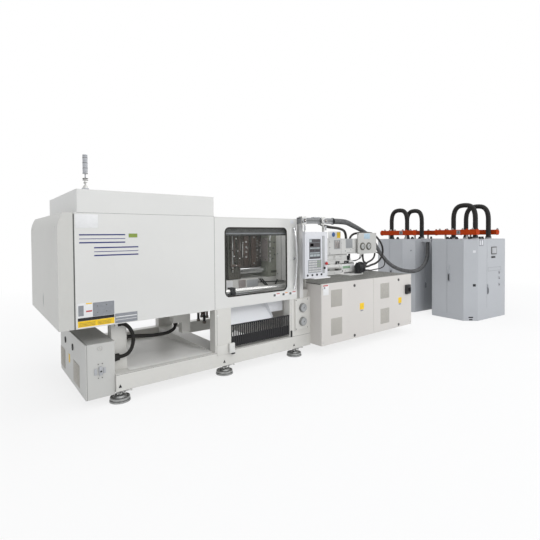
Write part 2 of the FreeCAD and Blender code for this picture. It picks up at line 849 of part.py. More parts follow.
def signal_base():
    x, y = end_x + signal_x_offset, front_y + signal_y_offset
    skirt = cone(signal_base_radius, 14, (x, y, hood_top_z), (x, y, hood_top_z + signal_base_height))
    pole = rod(signal_pole_radius, (x, y, hood_top_z), (x, y, knuckle_z - knuckle_radius - 1))
    cheek_0 = rod(knuckle_radius, (x, y - knuckle_width, knuckle_z),
                  (x, y - knuckle_width / 2 - running_gap, knuckle_z))
    cheek_1 = rod(knuckle_radius, (x, y + knuckle_width / 2 + running_gap, knuckle_z),
                  (x, y + knuckle_width, knuckle_z))
    yoke = block(x - 9, x + 9, y - knuckle_width, y + knuckle_width,
                 knuckle_z - knuckle_radius - 9, knuckle_z - knuckle_radius - 1)
    arms = [block(x - 9, x + 9, y - knuckle_width, y - knuckle_width / 2 - running_gap,
                  knuckle_z - knuckle_radius - 2, knuckle_z),
            block(x - 9, x + 9, y + knuckle_width / 2 + running_gap, y + knuckle_width,
                  knuckle_z - knuckle_radius - 2, knuckle_z)]
    pin = rod(4, (x, y - knuckle_width, knuckle_z), (x, y + knuckle_width, knuckle_z))
    return joined(skirt, pole, cheek_0, cheek_1, yoke, pin, *arms)


def signal_lamp():
    x, y = end_x + signal_x_offset, front_y + signal_y_offset
    eye = rod(knuckle_radius - 2, (x, y - knuckle_width / 2, knuckle_z),
              (x, y + knuckle_width / 2, knuckle_z))
    pole = rod(signal_pole_radius - 1, (x, y, knuckle_z + 6), (x, y, lamp_bottom_z + 5))
    lamp = rod(lamp_radius, (x, y, lamp_bottom_z), (x, y, lamp_bottom_z + lamp_height))
    grooves = [ring(lamp_radius + 1, lamp_radius - 2, (x, y, lamp_bottom_z + share * lamp_height - 2),
                    (x, y, lamp_bottom_z + share * lamp_height + 2))
               for share in (0.12, 0.4, 0.68, 0.93)]
    pin_hole = rod(4 + bore_fit, (x, y - 20, knuckle_z), (x, y + 20, knuckle_z))
    return without(joined(eye, pole, lamp), pin_hole, *grooves)


# ---------------------------------------------------------------- clamp unit
def platen(x0, bar_clearance):
    """A cast platen with tie-bar bores."""
    body = block(x0, x0 + platen_thickness, axis_y - platen_width / 2, axis_y + platen_width / 2,
                 platen_z0, axis_z + platen_height / 2)
    body = softened(body, platen_edge_radius, ALONG_X)
    bores = [rod(tie_bar_radius + bar_clearance, (x0 - 1, y, z), (x0 + platen_thickness + 1, y, z))
             for y, z in four_corners(tie_bar_spread_y, tie_bar_spread_z)]
    return without(body, *bores)


def clamp_holes(face_x, into):
    holes = []
    for i in (-1, 1):
        for j in (-1, 0, 1):
            y, z = axis_y + i * clamp_hole_spread, axis_z + j * clamp_hole_pitch
            holes.append(rod(clamp_hole_radius, (face_x, y, z), (face_x + into, y, z)))
    return holes


def fixed_platen():
    """Cast platen with nozzle hole, register, mould and robot bolt holes and
    a relieved injection side."""
    body = platen(fixed_x0, bore_fit)
    throat = rod(nozzle_hole_radius, (fixed_x0 - 1, axis_y, axis_z), (fixed_x1 + 1, axis_y, axis_z))
    relief = cone(nozzle_hole_radius, nozzle_hole_radius + 90, (fixed_x0 + 60, axis_y, axis_z),
                  (fixed_x1 + 1, axis_y, axis_z))
    top_z = axis_z + platen_height / 2
    robot = []
    for i in (-0.5, 0.5):
        for j in (-0.5, 0.5):
            x = fixed_x0 + platen_thickness / 2 + i * robot_hole_pitch_x
            y = axis_y + j * robot_hole_pitch_y
            robot.append(rod(robot_hole_radius, (x, y, top_z - robot_hole_depth), (x, y, top_z + 1)))
    return without(body, throat, relief, *robot, *clamp_holes(fixed_x0 - 1, clamp_hole_depth))


def cylinder_platen():
    body = platen(cylinder_platen_x0, bore_fit)
    bore = rod(ram_radius + bore_fit, (cylinder_platen_x0 - 1, axis_y, axis_z),
               (cylinder_platen_x1 + 1, axis_y, axis_z))
    return body.cut(bore)


def moving_platen():
    """Cast platen on the slide rails with a ram boss and ejector rod holes."""
    body = platen(moving_x0, 3 * bore_fit).cut(
        block(moving_x0, moving_x1, axis_y - platen_width, axis_y + platen_width,
              platen_z0, platen_z0 + running_gap))
    holes = [rod(ejector_rod_radius + bore_fit, (moving_x0 - 1, axis_y + s * ejector_rod_spread, axis_z),
                 (moving_x1 + 1, axis_y + s * ejector_rod_spread, axis_z)) for s in (-1, 1)]
    pocket_depth = platen_thickness / 3
    pockets = []
    for i in (-1, 1):
        pocket = block(moving_x0, moving_x0 + pocket_depth, axis_y - 90, axis_y + 90,
                       axis_z + i * 250 - 70, axis_z + i * 250 + 70)
        pockets.append(softened(pocket, 20, ALONG_X))
    return without(body, *holes, *pockets, *clamp_holes(moving_x1 + 1, -clamp_hole_depth))


def tie_bars():
    x0, x1 = cylinder_platen_x0 - tie_bar_tail, fixed_x1 + tie_bar_tail
    return group(rod(tie_bar_radius, (x0, y, z), (x1, y, z))
                 for y, z in four_corners(tie_bar_spread_y, tie_bar_spread_z))


def tie_bar_nuts():
    nuts = []
    for x in (cylinder_platen_x0 - nut_length, fixed_x1):
        for y, z in four_corners(tie_bar_spread_y, tie_bar_spread_z):
            nut = ring(nut_radius, tie_bar_radius + bore_fit, (x, y, z), (x + nut_length, y, z))
            step = ring(nut_radius + 5, nut_radius - 8, (x + 20, y, z), (x + 40, y, z))
            nuts.append(nut.cut(step))
    return group(nuts)


def clamp_cylinder():
    """Cylinder barrel with an end cap and a mounting flange, open to the ram."""
    x0, x1 = cylinder_platen_x0 - cylinder_length, cylinder_platen_x0
    barrel = rod(cylinder_radius, (x0, axis_y, axis_z), (x1, axis_y, axis_z))
    cap = rod(cylinder_radius + 15, (x0, axis_y, axis_z), (x0 + cylinder_cap_length, axis_y, axis_z))
    bore = rod(ram_radius + bore_fit, (x0 + cylinder_cap_length, axis_y, axis_z),
               (x1 + 1, axis_y, axis_z))
    port = rod(24, (x0 + 90, axis_y, axis_z + cylinder_radius - 10),
               (x0 + 90, axis_y, axis_z + cylinder_radius + 30))
    return joined(barrel, cap, port).cut(bore)


def clamp_ram():
    return rod(ram_radius, (cylinder_platen_x0 + platen_thickness - ram_tail, axis_y, axis_z),
               (moving_x0, axis_y, axis_z))


# ---------------------------------------------------------------- mould
def mould_half(x0, x1, plate_side):
    """Mould blocks with a wider clamp plate on the platen side."""
    body = block(x0, x1, axis_y - mould_width / 2, axis_y + mould_width / 2,
                 axis_z - mould_tall / 2, axis_z + mould_tall / 2)
    wide = mould_tall / 2 + clamp_plate_overhang
    p0 = x0 if plate_side < 0 else x1 - clamp_plate_thickness
    plate = block(p0, p0 + clamp_plate_thickness, axis_y - mould_width / 2, axis_y + mould_width / 2,
                  axis_z - wide, axis_z + wide)
    groove_x = x0 + (x1 - x0) * 0.45
    grooves = [block(groove_x, groove_x + 6, axis_y + s * mould_width / 2 - 4,
                     axis_y + s * mould_width / 2 + 4, axis_z - mould_tall / 2,
                     axis_z + mould_tall / 2) for s in (-1, 1)]
    return without(joined(body, plate), *grooves)


def mould_fixed_half():
    half = mould_half(fixed_x0 - fixed_half_length, fixed_x0, 1)
    register = rod(register_radius, (fixed_x0 - 5, axis_y, axis_z),
                   (fixed_x0 + register_depth, axis_y, axis_z))
    seat = cone(10, 2 * nozzle_tip_radius, (fixed_x0 - seat_depth, axis_y, axis_z),
                (fixed_x0 + register_depth, axis_y, axis_z))
    sprue = rod(sprue_radius / 2, (fixed_x0 - fixed_half_length, axis_y, axis_z),
                (fixed_x0, axis_y, axis_z))
    return without(joined(half, register), seat, sprue)


def mould_moving_half():
    half = mould_half(moving_x1, fixed_x0 - fixed_half_length, -1)
    reach = ejector_rod_entry + ejector_stroke + 10
    holes = [rod(ejector_rod_radius + bore_fit, (moving_x1 - 1, axis_y + s * ejector_rod_spread, axis_z),
                 (moving_x1 + reach, axis_y + s * ejector_rod_spread, axis_z)) for s in (-1, 1)]
    return without(half, *holes)


def ejector():
    """Ring plate round the ram with two push rods through the platen."""
    x1 = moving_x0 - ejector_ring_gap - ejector_stroke
    x0 = x1 - ejector_ring_thickness
    plate = ring(ejector_ring_radius, ejector_ring_bore, (x0, axis_y, axis_z), (x1, axis_y, axis_z))
    rods = [rod(ejector_rod_radius, (x0, axis_y + s * ejector_rod_spread, axis_z),
                (moving_x1 + ejector_rod_entry, axis_y + s * ejector_rod_spread, axis_z))
            for s in (-1, 1)]
    return joined(plate, *rods)


# ---------------------------------------------------------------- injection bed
def vent_pocket(x, z):
    return block(x, x + vent_length, bed_y0 - 1, bed_y0 + vent_depth, z, z + vent_height)


def bed_panel(x0, x1, vent_x):
    panel = block(x0, x1, bed_y0, housing_y0, bed_bottom_z, bed_top_z)
    panel = softened(panel, 3, ALONG_Z)
    return without(panel, vent_pocket(vent_x, upper_vent_z), vent_pocket(vent_x, lower_vent_z))


def bed_panel_left():
    return bed_panel(bed_x0, bed_x0 + left_panel_length, bed_x0 + left_vent_offset)


def bed_panel_right():
    panel = bed_panel(bed_x0 + left_panel_length + bed_panel_seam, bed_x1, bed_x0 + right_vent_offset)
    base = block(switch_x - switch_base_width / 2, switch_x + switch_base_width / 2,
                 bed_y0 - switch_base_depth, bed_y0, switch_z - switch_base_height / 2,
                 switch_z + switch_base_height / 2)
    shaft_hole = rod(8 + bore_fit, (switch_x, bed_y0 - 100, switch_z), (switch_x, bed_y0 - 6, switch_z))
    return joined(panel, softened(base, 8, ALONG_Y)).cut(shaft_hole)


def main_switch():
    y1 = bed_y0 - switch_base_depth - running_gap
    y0 = y1 - switch_knob_depth
    knob = rod(switch_knob_radius, (switch_x, y0 + 24, switch_z), (switch_x, y1, switch_z))
    grip = block(switch_x - switch_grip_width / 2, switch_x + switch_grip_width / 2, y0, y0 + 26,
                 switch_z - switch_knob_radius, switch_z + switch_knob_radius)
    shaft = rod(8, (switch_x, y1 - 4, switch_z), (switch_x, bed_y0 - 8, switch_z))
    return joined(knob, softened(grip, 4, ALONG_Y), shaft)


def bed_housing():
    body = block(bed_x0, bed_x1, housing_y0, bed_y1, bed_bottom_z, grating_z0)
    return softened(body, 3, ALONG_Z)


def bed_grating():
    return block(bed_x0 + 8, bed_x1 - 8, housing_y0, bed_y1 - 8, grating_z0, bed_top_z)


def guide_rails():
    """Two round guide rails on end blocks that stand on the bed."""
    x0 = bed_x0 + guide_rail_offset
    x1 = x0 + guide_rail_length
    rails = []
    for side in (-1, 1):
        y = axis_y + side * guide_rail_spread
        bar = rod(guide_rail_radius, (x0, y, guide_rail_z), (x1, y, guide_rail_z))
        blocks = [block(x, x + rail_block_length, y - rail_block_width / 2, y + rail_block_width / 2,
                        bed_top_z, guide_rail_z + rail_block_rise)
                  for x in (x0, x1 - rail_block_length)]
        rails.append(joined(bar, *blocks))
    return group(rails)


# ---------------------------------------------------------------- injection unit
def injection_carriage():
    """Cast saddle: bearings and cheeks on the rails, plate, casing, feed housing, yoke."""
    y0, y1 = axis_y - carriage_width / 2, axis_y + carriage_width / 2
    pieces = [block(carriage_x0, carriage_x1, y0, y1, carriage_plate_z, plate_top_z)]
    bores = []
    for side in (-1, 1):
        y = axis_y + side * guide_rail_spread
        x = carriage_x0 + bearing_offset
        pieces.append(block(x, x + bearing_length, y - bearing_width / 2, y + bearing_width / 2,
                            guide_rail_z - guide_rail_radius - bearing_drop, carriage_plate_z))
        bores.append(rod(guide_rail_radius + bore_fit, (carriage_x0 - 10, y, guide_rail_z),
                         (carriage_x1 + 10, y, guide_rail_z)))
    rail_y = axis_y - guide_rail_spread
    cheek = block(cheek_x0, cheek_x1, rail_y - cheek_reach, rail_y + bearing_width / 2,
                  carriage_plate_z - cheek_drop, carriage_plate_z)
    pieces += [cheek, across(cheek)]
    casing = block(feed_x1 - casing_length, feed_x1, axis_y - guard_half_width + 20,
                   axis_y + guard_half_width - 20, plate_top_z, plate_top_z + casing_height)
    pieces.append(softened(casing, 20, ALONG_Z))
    housing = block(feed_x0, feed_x1, axis_y - feed_housing_width / 2,
                    axis_y + feed_housing_width / 2, plate_top_z,
                    axis_z + feed_housing_height / 2)
    pieces.append(softened(housing, 15, ALONG_Z))
    pieces.append(block(feed_x1 - yoke_length, feed_x1, axis_y - yoke_half_width,
                        axis_y + yoke_half_width, axis_z - yoke_half_height,
                        axis_z + yoke_half_height))
    pieces += pull_cylinder_and_board(rail_y)
    bores.append(rod(barrel_radius + bore_fit, (feed_x0 - 10, axis_y, axis_z),
                     (barrel_x1, axis_y, axis_z)))
    bores.append(rod(screw_shank_radius + 4, (barrel_x1 - 1, axis_y, axis_z),
                     (feed_x1 + 10, axis_y, axis_z)))
    bores.append(rod(barrel_throat_radius, (throat_x, axis_y, axis_z),
                     (throat_x, axis_y, throat_z + 1)))
    bores.append(rod(feed_throat_radius, (throat_x, axis_y, throat_z),
                     (throat_x, axis_y, axis_z + feed_housing_height)))
    return joined(*pieces).cut(bores)


def pull_cylinder_and_board(rail_y):
    """Pull cylinder along the front rail, skid under it, board that carries the motors."""
    skid_x0, skid_x1 = cheek_x0 + skid_height - skid_length, cheek_x0 + skid_height
    y0 = rail_y - cheek_reach
    skid = block(skid_x0, skid_x1, y0, y0 + skid_width, board_z1 - 2, board_z1 + skid_height)
    y = rail_y - pull_cylinder_reach
    cylinder = rod(pull_cylinder_radius, (skid_x0, y, pull_cylinder_z),
                   (cheek_x0 + 2, y, pull_cylinder_z))
    stand = block(skid_x0, skid_x0 + skid_height, y0, y0 + skid_width, board_z1,
                  pull_cylinder_z)
    corners = [(board_x1 - board_length, board_front_y), (board_x1 - board_corner[0], board_front_y),
               (board_x1, board_front_y + board_corner[1]), (board_x1, board_rear_y),
               (board_x1 - board_length, board_rear_y)]
    board = prism([(x, y, board_z0) for x, y in corners], (0, 0, board_thickness))
    return [skid, cylinder, stand, board]


def barrel():
    """Barrel tube with its heater bands and the nozzle screwed to its end."""
    tube = rod(barrel_radius, (barrel_x0, axis_y, axis_z), (barrel_x1, axis_y, axis_z))
    pitch = (feed_x0 - barrel_x0) / (band_count + 0.5)
    bands = []
    for i in range(band_count):
        x = barrel_x0 + pitch * (i + 0.3)
        bands.append(rod(band_radius, (x, axis_y, axis_z), (x + band_length, axis_y, axis_z)))
    adapter = cone(30, barrel_radius - 4, (barrel_x0 - 40, axis_y, axis_z), (barrel_x0, axis_y, axis_z))
    stem = rod(24, (barrel_x0 - nozzle_length + 20, axis_y, axis_z), (barrel_x0 - 35, axis_y, axis_z))
    tip = cone(nozzle_tip_radius / 2, 24, (barrel_x0 - nozzle_length, axis_y, axis_z),
               (barrel_x0 - nozzle_length + 22, axis_y, axis_z))
    bore = rod(screw_radius + screw_clearance, (barrel_x0 + 20, axis_y, axis_z),
               (barrel_x1 + 1, axis_y, axis_z))
    duct = rod(nozzle_bore_radius, (barrel_x0 - nozzle_length - 1, axis_y, axis_z),
               (barrel_x0 + 21, axis_y, axis_z))
    throat = rod(barrel_throat_radius, (throat_x, axis_y, axis_z),
                 (throat_x, axis_y, axis_z + barrel_radius + 5))
    return without(joined(tube, adapter, stem, tip, *bands), bore, duct, throat)


def injection_screw():
    """Plain core of the screw with its tip, and the shank that the ram turns."""
    tip_x = barrel_x0 + 30
    tip = cone(4, screw_radius, (tip_x, axis_y, axis_z), (tip_x + 40, axis_y, axis_z))
    root = rod(screw_radius, (tip_x + 40, axis_y, axis_z), (barrel_x1 - 5, axis_y, axis_z))
    shank = rod(screw_radius, (barrel_x1 - 5, axis_y, axis_z),
                (ram_x0 + screw_socket_depth - 1, axis_y, axis_z))
    relief = ring(screw_radius + 1, screw_radius - 6, (tip_x + 46, axis_y, axis_z),
                  (tip_x + 60, axis_y, axis_z))
    return joined(tip, root, shank).cut(relief)


def injection_ram():
    x1 = ram_x0 + injection_ram_length
    body = rod(injection_ram_radius, (ram_x0, axis_y, axis_z), (x1, axis_y, axis_z))
    socket = rod(screw_radius + bore_fit, (ram_x0 - 1, axis_y, axis_z),
                 (ram_x0 + screw_socket_depth, axis_y, axis_z))
    return body.cut(socket)


def drive_box():
    """Front plate on two arms, cross-head with the ram bore, two pull cylinders."""
    plate_y1 = drive_plate_front_y + drive_plate_thickness
    plate = block(drive_plate_x0, drive_plate_x1, drive_plate_front_y, plate_y1,
                  drive_plate_bottom_z, drive_plate_top_z)
    plate = softened(plate, drive_plate_radius, ALONG_Y)
    head = block(head_x0, head_x1, axis_y - head_half_width, axis_y + head_half_width,
                 axis_z - head_half_height, axis_z + head_half_height + head_top_rise)
    head = softened(head, 20, ALONG_X)
    arms = [block(x, x + arm_length, plate_y1 - 1, axis_y - head_half_width + 1,
                  axis_z - head_half_height / 2, axis_z + head_half_height / 2)
            for x in (head_x0 + arm_inset, head_x1 - arm_inset - arm_length)]
    cylinders = [rod(pull_radius, (feed_x1, axis_y + side * pull_spread, axis_z),
                     (head_x0 + 1, axis_y + side * pull_spread, axis_z)) for side in (-1, 1)]
    bore = rod(injection_ram_radius + bore_fit, (head_x0 - 1, axis_y, axis_z),
               (head_x0 + ram_bore_depth, axis_y, axis_z))
    return joined(head, plate, *arms, *cylinders).cut(bore)


def purge_guard():
    """Folded guard over the barrel with two slots and a sign plate on top."""
    y0, y1 = axis_y - guard_half_width, axis_y + guard_half_width
    outer = block(guard_x0, guard_x1, y0, y1, guard_bottom_z, guard_top_z)
    hollow = block(guard_x0 + guard_sheet, guard_x1 + 1, y0 + guard_sheet, y1 - guard_sheet,
                   guard_bottom_z - 1, guard_top_z - guard_sheet)
    hole = rod(band_radius + 30, (guard_x0 - 10, axis_y, axis_z), (guard_x0 + 10, axis_y, axis_z))
    throat = block(guard_x0 - 10, guard_x0 + 10, axis_y - band_radius - 30, axis_y + band_radius + 30,
                   guard_bottom_z - 1, axis_z)
    notch = block(feed_x0 - 2, feed_x1 + 2, axis_y - feed_housing_width / 2 - 2,
                  axis_y + feed_housing_width / 2 + 2, guard_top_z - 30, guard_top_z + 10)
    slot_z0 = guard_bottom_z + guard_slot_rise
    slots = [block(guard_x1 - offset, guard_x1 - offset + guard_slot_width, y0 - 1,
                   y0 + guard_sheet + 1, slot_z0, slot_z0 + guard_slot_height)
             for offset in guard_slot_offsets]
    holes = [rod(radius, (guard_x1 - offset, y, guard_top_z - 10), (guard_x1 - offset, y, guard_top_z + 10))
             for offset, y, radius in guard_hose_holes]
    plate_x0 = guard_x0 + sign_plate_offset
    plate = block(plate_x0, plate_x0 + sign_plate_length, y0, y0 + guard_sheet,
                  guard_top_z - 10, guard_top_z + sign_plate_height)
    return without(joined(outer.cut(hollow), plate), hole, throat, notch, *slots, *holes)


def drive_motors():
    """Two upright hydraulic motors on the board, a link and a port block between them."""
    motors = []
    places = [(board_x1 - offset, y) for offset, y in motor_places]
    for x, y in places:
        top_z = board_z1 + motor_height
        motors.append(rod(motor_flange_radius, (x, y, board_z1), (x, y, board_z1 + motor_flange)))
        motors.append(rod(motor_radius, (x, y, board_z1 + motor_flange), (x, y, top_z - motor_cap_height)))
        motors.append(rod(motor_cap_radius, (x, y, top_z - motor_cap_height), (x, y, top_z)))
    (x0, y0), (x1, y1) = places
    mid_y = (y0 + y1) / 2
    motors.append(block(x0, x1, mid_y - link_width / 2, mid_y + link_width / 2,
                        board_z1 + link_rise, board_z1 + link_rise + link_height))
    motors.append(block(x1, x1 + port_block_length, y1 - port_block_width / 2,
                        y1 + port_block_width / 2, board_z1 + port_block_rise,
                        board_z1 + port_block_rise + port_block_height))
    return joined(*motors)


# ---------------------------------------------------------------- operator panel
def panel_bracket():
    """Corner post of the clamp unit with the overhead bar that carries the panel."""
    x0 = corner_post_x0
    post = block(x0, x0 + corner_post_length, front_y, front_y + corner_post_depth, cover_bottom_z,
                 panel_bar_z + panel_bar_height / 2)
    arm = block(x0, x0 + corner_post_length, panel_bar_y - panel_bar_depth / 2, front_y,
                panel_bar_z - panel_bar_height / 2, panel_bar_z + panel_bar_height / 2)
    bar = block(bar_x0, bar_x1, panel_bar_y - panel_bar_depth / 2,
                panel_bar_y + panel_bar_depth / 2, panel_bar_z - panel_bar_height / 2,
                panel_bar_z + panel_bar_height / 2)
    return joined(post, arm, bar)


def hanger_notch():
    """The bar with its clearance, cut out of each hanger, open to the arm side."""
    half_y, half_z = panel_bar_depth / 2 + running_gap, panel_bar_height / 2 + running_gap
    return block(panel_x0 - 500, panel_x1 + 500, panel_bar_y - half_y, panel_bar_y + half_y + 100,
                 panel_bar_z - half_z, panel_bar_z + half_z)


def panel_hanger():
    hangers = []
    for offset, post_radius in zip(hanger_offsets, hanger_post_radii):
        x = panel_x0 + offset
        half = hanger_depth / 2
        half_z = panel_bar_height / 2 + hanger_wall
        x1 = x + post_radius
        saddle = block(x1 - hanger_length, x1, panel_bar_y - half, panel_bar_y + half,
                       panel_bar_z - half_z, panel_bar_z + half_z)
        post = rod(post_radius, (x, panel_bar_y - 5, panel_top_z),
                   (x, panel_bar_y - 5, panel_bar_z - half_z + 2))
        knob_x = x - hanger_knob_lead
        knob = rod(hanger_knob_radius, (knob_x, panel_bar_y - half - hanger_knob_depth, panel_bar_z),
                   (knob_x, panel_bar_y - half, panel_bar_z))
        hangers.append(joined(saddle.cut(hanger_notch()), post, knob))
    return group(hangers)


def control_panel():
    """Pan-shaped operator panel with screen recess and holes for its controls."""
    body = block(panel_x0, panel_x1, panel_y0, panel_y1, panel_bottom_z, panel_top_z)
    body = softened(body, panel_edge_radius, ALONG_Z)
    screen_x = panel_x0 + screen_offset
    recess = block(screen_x, screen_x + screen_length, panel_y0 - 1, panel_y0 + screen_recess,
                   screen_bottom_z, screen_bottom_z + screen_height)
    holes = [control_hole(stop_offset, stop_z, stop_stem_radius, panel_depth - 15),
             control_hole(selector_offset, selector_z, 6, panel_depth - 25)]
    for i in range(button_count):
        holes.append(control_hole(button_start + i * button_pitch, button_z, button_radius,
                                  button_depth + button_travel + 2))
    return without(body, recess, *holes)


def control_hole(offset, z, radius, depth):
    x = panel_x0 + offset
    return rod(radius + bore_fit, (x, panel_y0 - 1, z), (x, panel_y0 + depth, z))


def panel_screen():
    x = panel_x0 + screen_offset
    return block(x, x + screen_length, panel_y0 + screen_recess - screen_thickness,
                 panel_y0 + screen_recess, screen_bottom_z, screen_bottom_z + screen_height)


def emergency_stop():
    x = panel_x0 + stop_offset
    gap = stop_travel + running_gap
    head_y = panel_y0 - gap
    head = rod(stop_radius, (x, head_y - 14, stop_z), (x, head_y, stop_z))
    dome = cone(stop_radius, stop_radius - 7, (x, head_y - 14, stop_z), (x, head_y - stop_depth, stop_z))
    stem = rod(stop_stem_radius, (x, head_y - 2, stop_z), (x, panel_y0 + 25, stop_z))
    return joined(head, dome, stem)


def selector_switch():
    x = panel_x0 + selector_offset
    y1 = panel_y0 - running_gap
    knob = rod(selector_radius, (x, y1 - 9, selector_z), (x, y1, selector_z))
    grip = block(x - 4, x + 4, y1 - selector_depth, y1 - 8, selector_z - selector_radius,
                 selector_z + selector_radius)
    stem = rod(6, (x, y1 - 2, selector_z), (x, panel_y0 + 20, selector_z))
    return joined(knob, grip, stem)


def panel_button(index):
    x = panel_x0 + button_start + index * button_pitch
    return rod(button_radius, (x, panel_y0 - button_rise, button_z), (x, panel_y0 + button_depth, button_z))


# ---------------------------------------------------------------- electrical box
def electrical_box():
    y0 = front_y + e_box_front_step
    box = block(e_box_x0, base_x0, y0, y0 + e_box_depth, e_box_bottom_z, e_box_top_z)
    box = softened(box, e_box_edge_radius, ALONG_Z)
    gland_y = front_y + 95.0
    gland = cone(gland_radius, base_conduit_diameter / 2 + 3, (base_x0 - 1, gland_y, 417.0),
                 (base_x0 + gland_length, gland_y, 417.0))
    return box, gland


# ---------------------------------------------------------------- cabinets
def cabinet_placement(which):
    x, y = cabinet_origins[which]
    return FreeCAD.Placement(V(x, y, 0), FreeCAD.Rotation(ALONG_Z, cabinet_turn))


def placed(shape, which):
    moved = shape.copy()
    moved.Placement = cabinet_placement(which).multiply(shape.Placement)
    return moved


def cabinet_outline(inset):
    """Rectangle with its corners cut off, in the cabinet's own frame."""
    length, depth = cabinet_length, cabinet_depth
    a, b, t = cabinet_corner_length, cabinet_corner_depth, inset
    k = t * (math.hypot(a, b) - b) / a
    m = t * (math.hypot(a, b) - a) / b
    return [(t, b + m), (a + k, t), (length - a - k, t), (length - t, b + m),
            (length - t, depth - b - m), (length - a - k, depth - t),
            (a + k, depth - t), (t, depth - b - m)]


def cabinet_prism(inset, z0, z1):
    return prism([(x, y, z0) for x, y in cabinet_outline(inset)], (0, 0, z1 - z0))


def side_door_slab(gap):
    y0, y1 = side_door_start, side_door_start + side_door_length
    return block(0, cabinet_wall, y0 - gap, y1 + gap, side_door_bottom_z - gap,
                 cabinet_height - side_door_top_gap + gap)


def front_door_slab(gap):
    x0, x1 = front_door_start, front_door_start + front_door_length
    return block(x0 - gap, x1 + gap, 0, cabinet_wall, front_door_bottom_z - gap,
                 cabinet_height - front_door_top_gap + gap)


def cabinet(which):
    """Cabinet shell with two door openings and a mounting plate with modules."""
    shell = cabinet_prism(0, 0, cabinet_height)
    room = cabinet_prism(cabinet_wall, cabinet_floor, cabinet_height - cabinet_wall)
    shell = without(shell, room, side_door_slab(door_gap), front_door_slab(door_gap))
    plate_y = cabinet_depth - cabinet_wall - module_plate_setback
    plate = block(module_plate_inset, cabinet_length - module_plate_inset, plate_y,
                  plate_y + module_plate_thickness, cabinet_floor, cabinet_height - cabinet_wall)
    modules = []
    for row in range(module_rows):
        z = module_bottom_z + row * module_pitch
        for x, length, height, share in module_sizes:
            modules.append(block(x, x + length, plate_y - share * module_depth, plate_y, z, z + height))
    return placed(joined(shell, plate, *modules), which)


def cabinet_rear():
    """The rear cabinet with the wiring box that fills the space to the front one."""
    return joined(cabinet("rear"), junction_box())


def cabinet_side_door(which):
    door = side_door_slab(0)
    y = side_door_start + side_door_length - door_handle_inset
    handle = block(-door_handle_depth, 0, y - door_handle_width / 2, y + door_handle_width / 2,
                   door_handle_z, door_handle_z + door_handle_height)
    return placed(joined(door, softened(handle, 6, ALONG_X)), which)


def cabinet_front_door(which):
    door = front_door_slab(0)
    x = front_door_start + door_handle_inset
    handle = block(x - door_handle_width / 2, x + door_handle_width / 2, -door_handle_depth, 0,
                   door_handle_z - front_handle_drop,
                   door_handle_z - front_handle_drop + door_handle_height)
    return placed(joined(door, softened(handle, 6, ALONG_Y)), which)


def lifting_frame(which):
    """Two square beams on stand-offs over the cabinet roof, with end caps."""
    beams = []
    half = frame_beam_size / 2
    for x, y0 in ((frame_left_x, frame_front_y), (frame_right_x, frame_front_y + frame_right_setback)):
        beam = block(x - half, x + half, y0, frame_rear_y, frame_beam_z, frame_beam_z + frame_beam_size)
        pieces = [softened(beam, 8, ALONG_Y)]
        centre_z = frame_beam_z + half
        pieces.append(rod(frame_cap_radius, (x, y0 - frame_cap_length, centre_z), (x, y0, centre_z)))
        pieces.append(rod(frame_cap_radius, (x, frame_rear_y, centre_z),
                          (x, frame_rear_y + frame_cap_length, centre_z)))
        for y in (y0 + frame_post_inset, frame_rear_y - frame_post_inset):
            pieces.append(rod(frame_post_radius, (x, y, cabinet_height), (x, y, frame_beam_z + 1)))
            pieces.append(rod(frame_post_radius - 4, (x, y, frame_beam_z + frame_beam_size - 1),
                              (x, y, frame_beam_z + frame_beam_size + 18)))
        beams.append(placed(joined(*pieces), which))
    return beams


def hose_loop(which, number):
    """Inverted U of thick hose from roof to roof, a half circle on two straight legs."""
    x, y0, y1, rise = loop_spans[which][number]
    radius = (y1 - y0) / 2
    crown_z = cabinet_height + rise
    spring_z = crown_z - radius
    legs = [Part.LineSegment(V(x, y0, cabinet_height), V(x, y0, spring_z)).toShape(),
            Part.Arc(V(x, y0, spring_z), V(x, (y0 + y1) / 2, crown_z), V(x, y1, spring_z)).toShape(),
            Part.LineSegment(V(x, y1, spring_z), V(x, y1, cabinet_height)).toShape()]
    path = Part.Wire(legs)
    section = Part.Wire([Part.makeCircle(loop_diameter / 2, V(x, y0, cabinet_height), ALONG_Z)])
    tube = path.makePipeShell([section], True, False)
    print(f"hose loop {which} {number}: length {path.Length:.0f}, radius {radius:.0f}, volume ratio",
          f"{tube.Volume / (math.pi * loop_diameter ** 2 / 4 * path.Length):.4f}")
    return placed(tube, which)


def junction_box():
    """Wiring box between the two cabinets, where the trunk conduit comes up."""
    front, rear = cabinet_placement("front"), cabinet_placement("rear")
    far_y = front.inverse().multVec(rear.Base).y
    box = block(junction_x, junction_x + junction_length, cabinet_depth, far_y,
                cabinet_height - junction_height, cabinet_height - 5)
    return placed(box, "front")


# ---------------------------------------------------------------- conduits and hoses
def shifted(x, points):
    """Route points whose first number is measured from the station x."""
    return [(x + point[0], point[1], point[2]) for point in points]


trunk_route = shifted(bar_x1, [
    (0.3, -740, 1784.5), (207, -740, 1784.5), (527, -560, 1776), (927, -310, 1748),
    (1377, -50, 1712), (1827, 200, 1664), (2187, 360, 1600), (2437, 450, 1500),
    (2547, 430, 1350), (2590, 330, 1170), (2650, 190, 1000), (2760, 40, 905),
    (2960, -80, 862), (3180, -125, 895), (3380, -120, 1000), (3520, -92, 1120),
    (3576.7, -67.9, 1270), (3576.7, -67.9, 1439.7),
])
base_routes = [
    shifted(base_x0, [
        (58.3, -470, 417), (124, -470, 417), (176, -470, 462), (201, -470, 540),
        (198, -470, 618), (164, -470, 690), (107, -470, 743), (42.3, -470, 743),
    ]),
    shifted(post_1_x1, [
        (0.3, -370, 575), (82, -370, 575), (212, -330, 545), (349, -270, 520),
    ]) + shifted(post_2_x0, [
        (-460, -205, 501), (-357, -135, 492), (-273, -80, 508), (-253, -66, 545),
        (-253, -66, 576.7),
    ]),
]
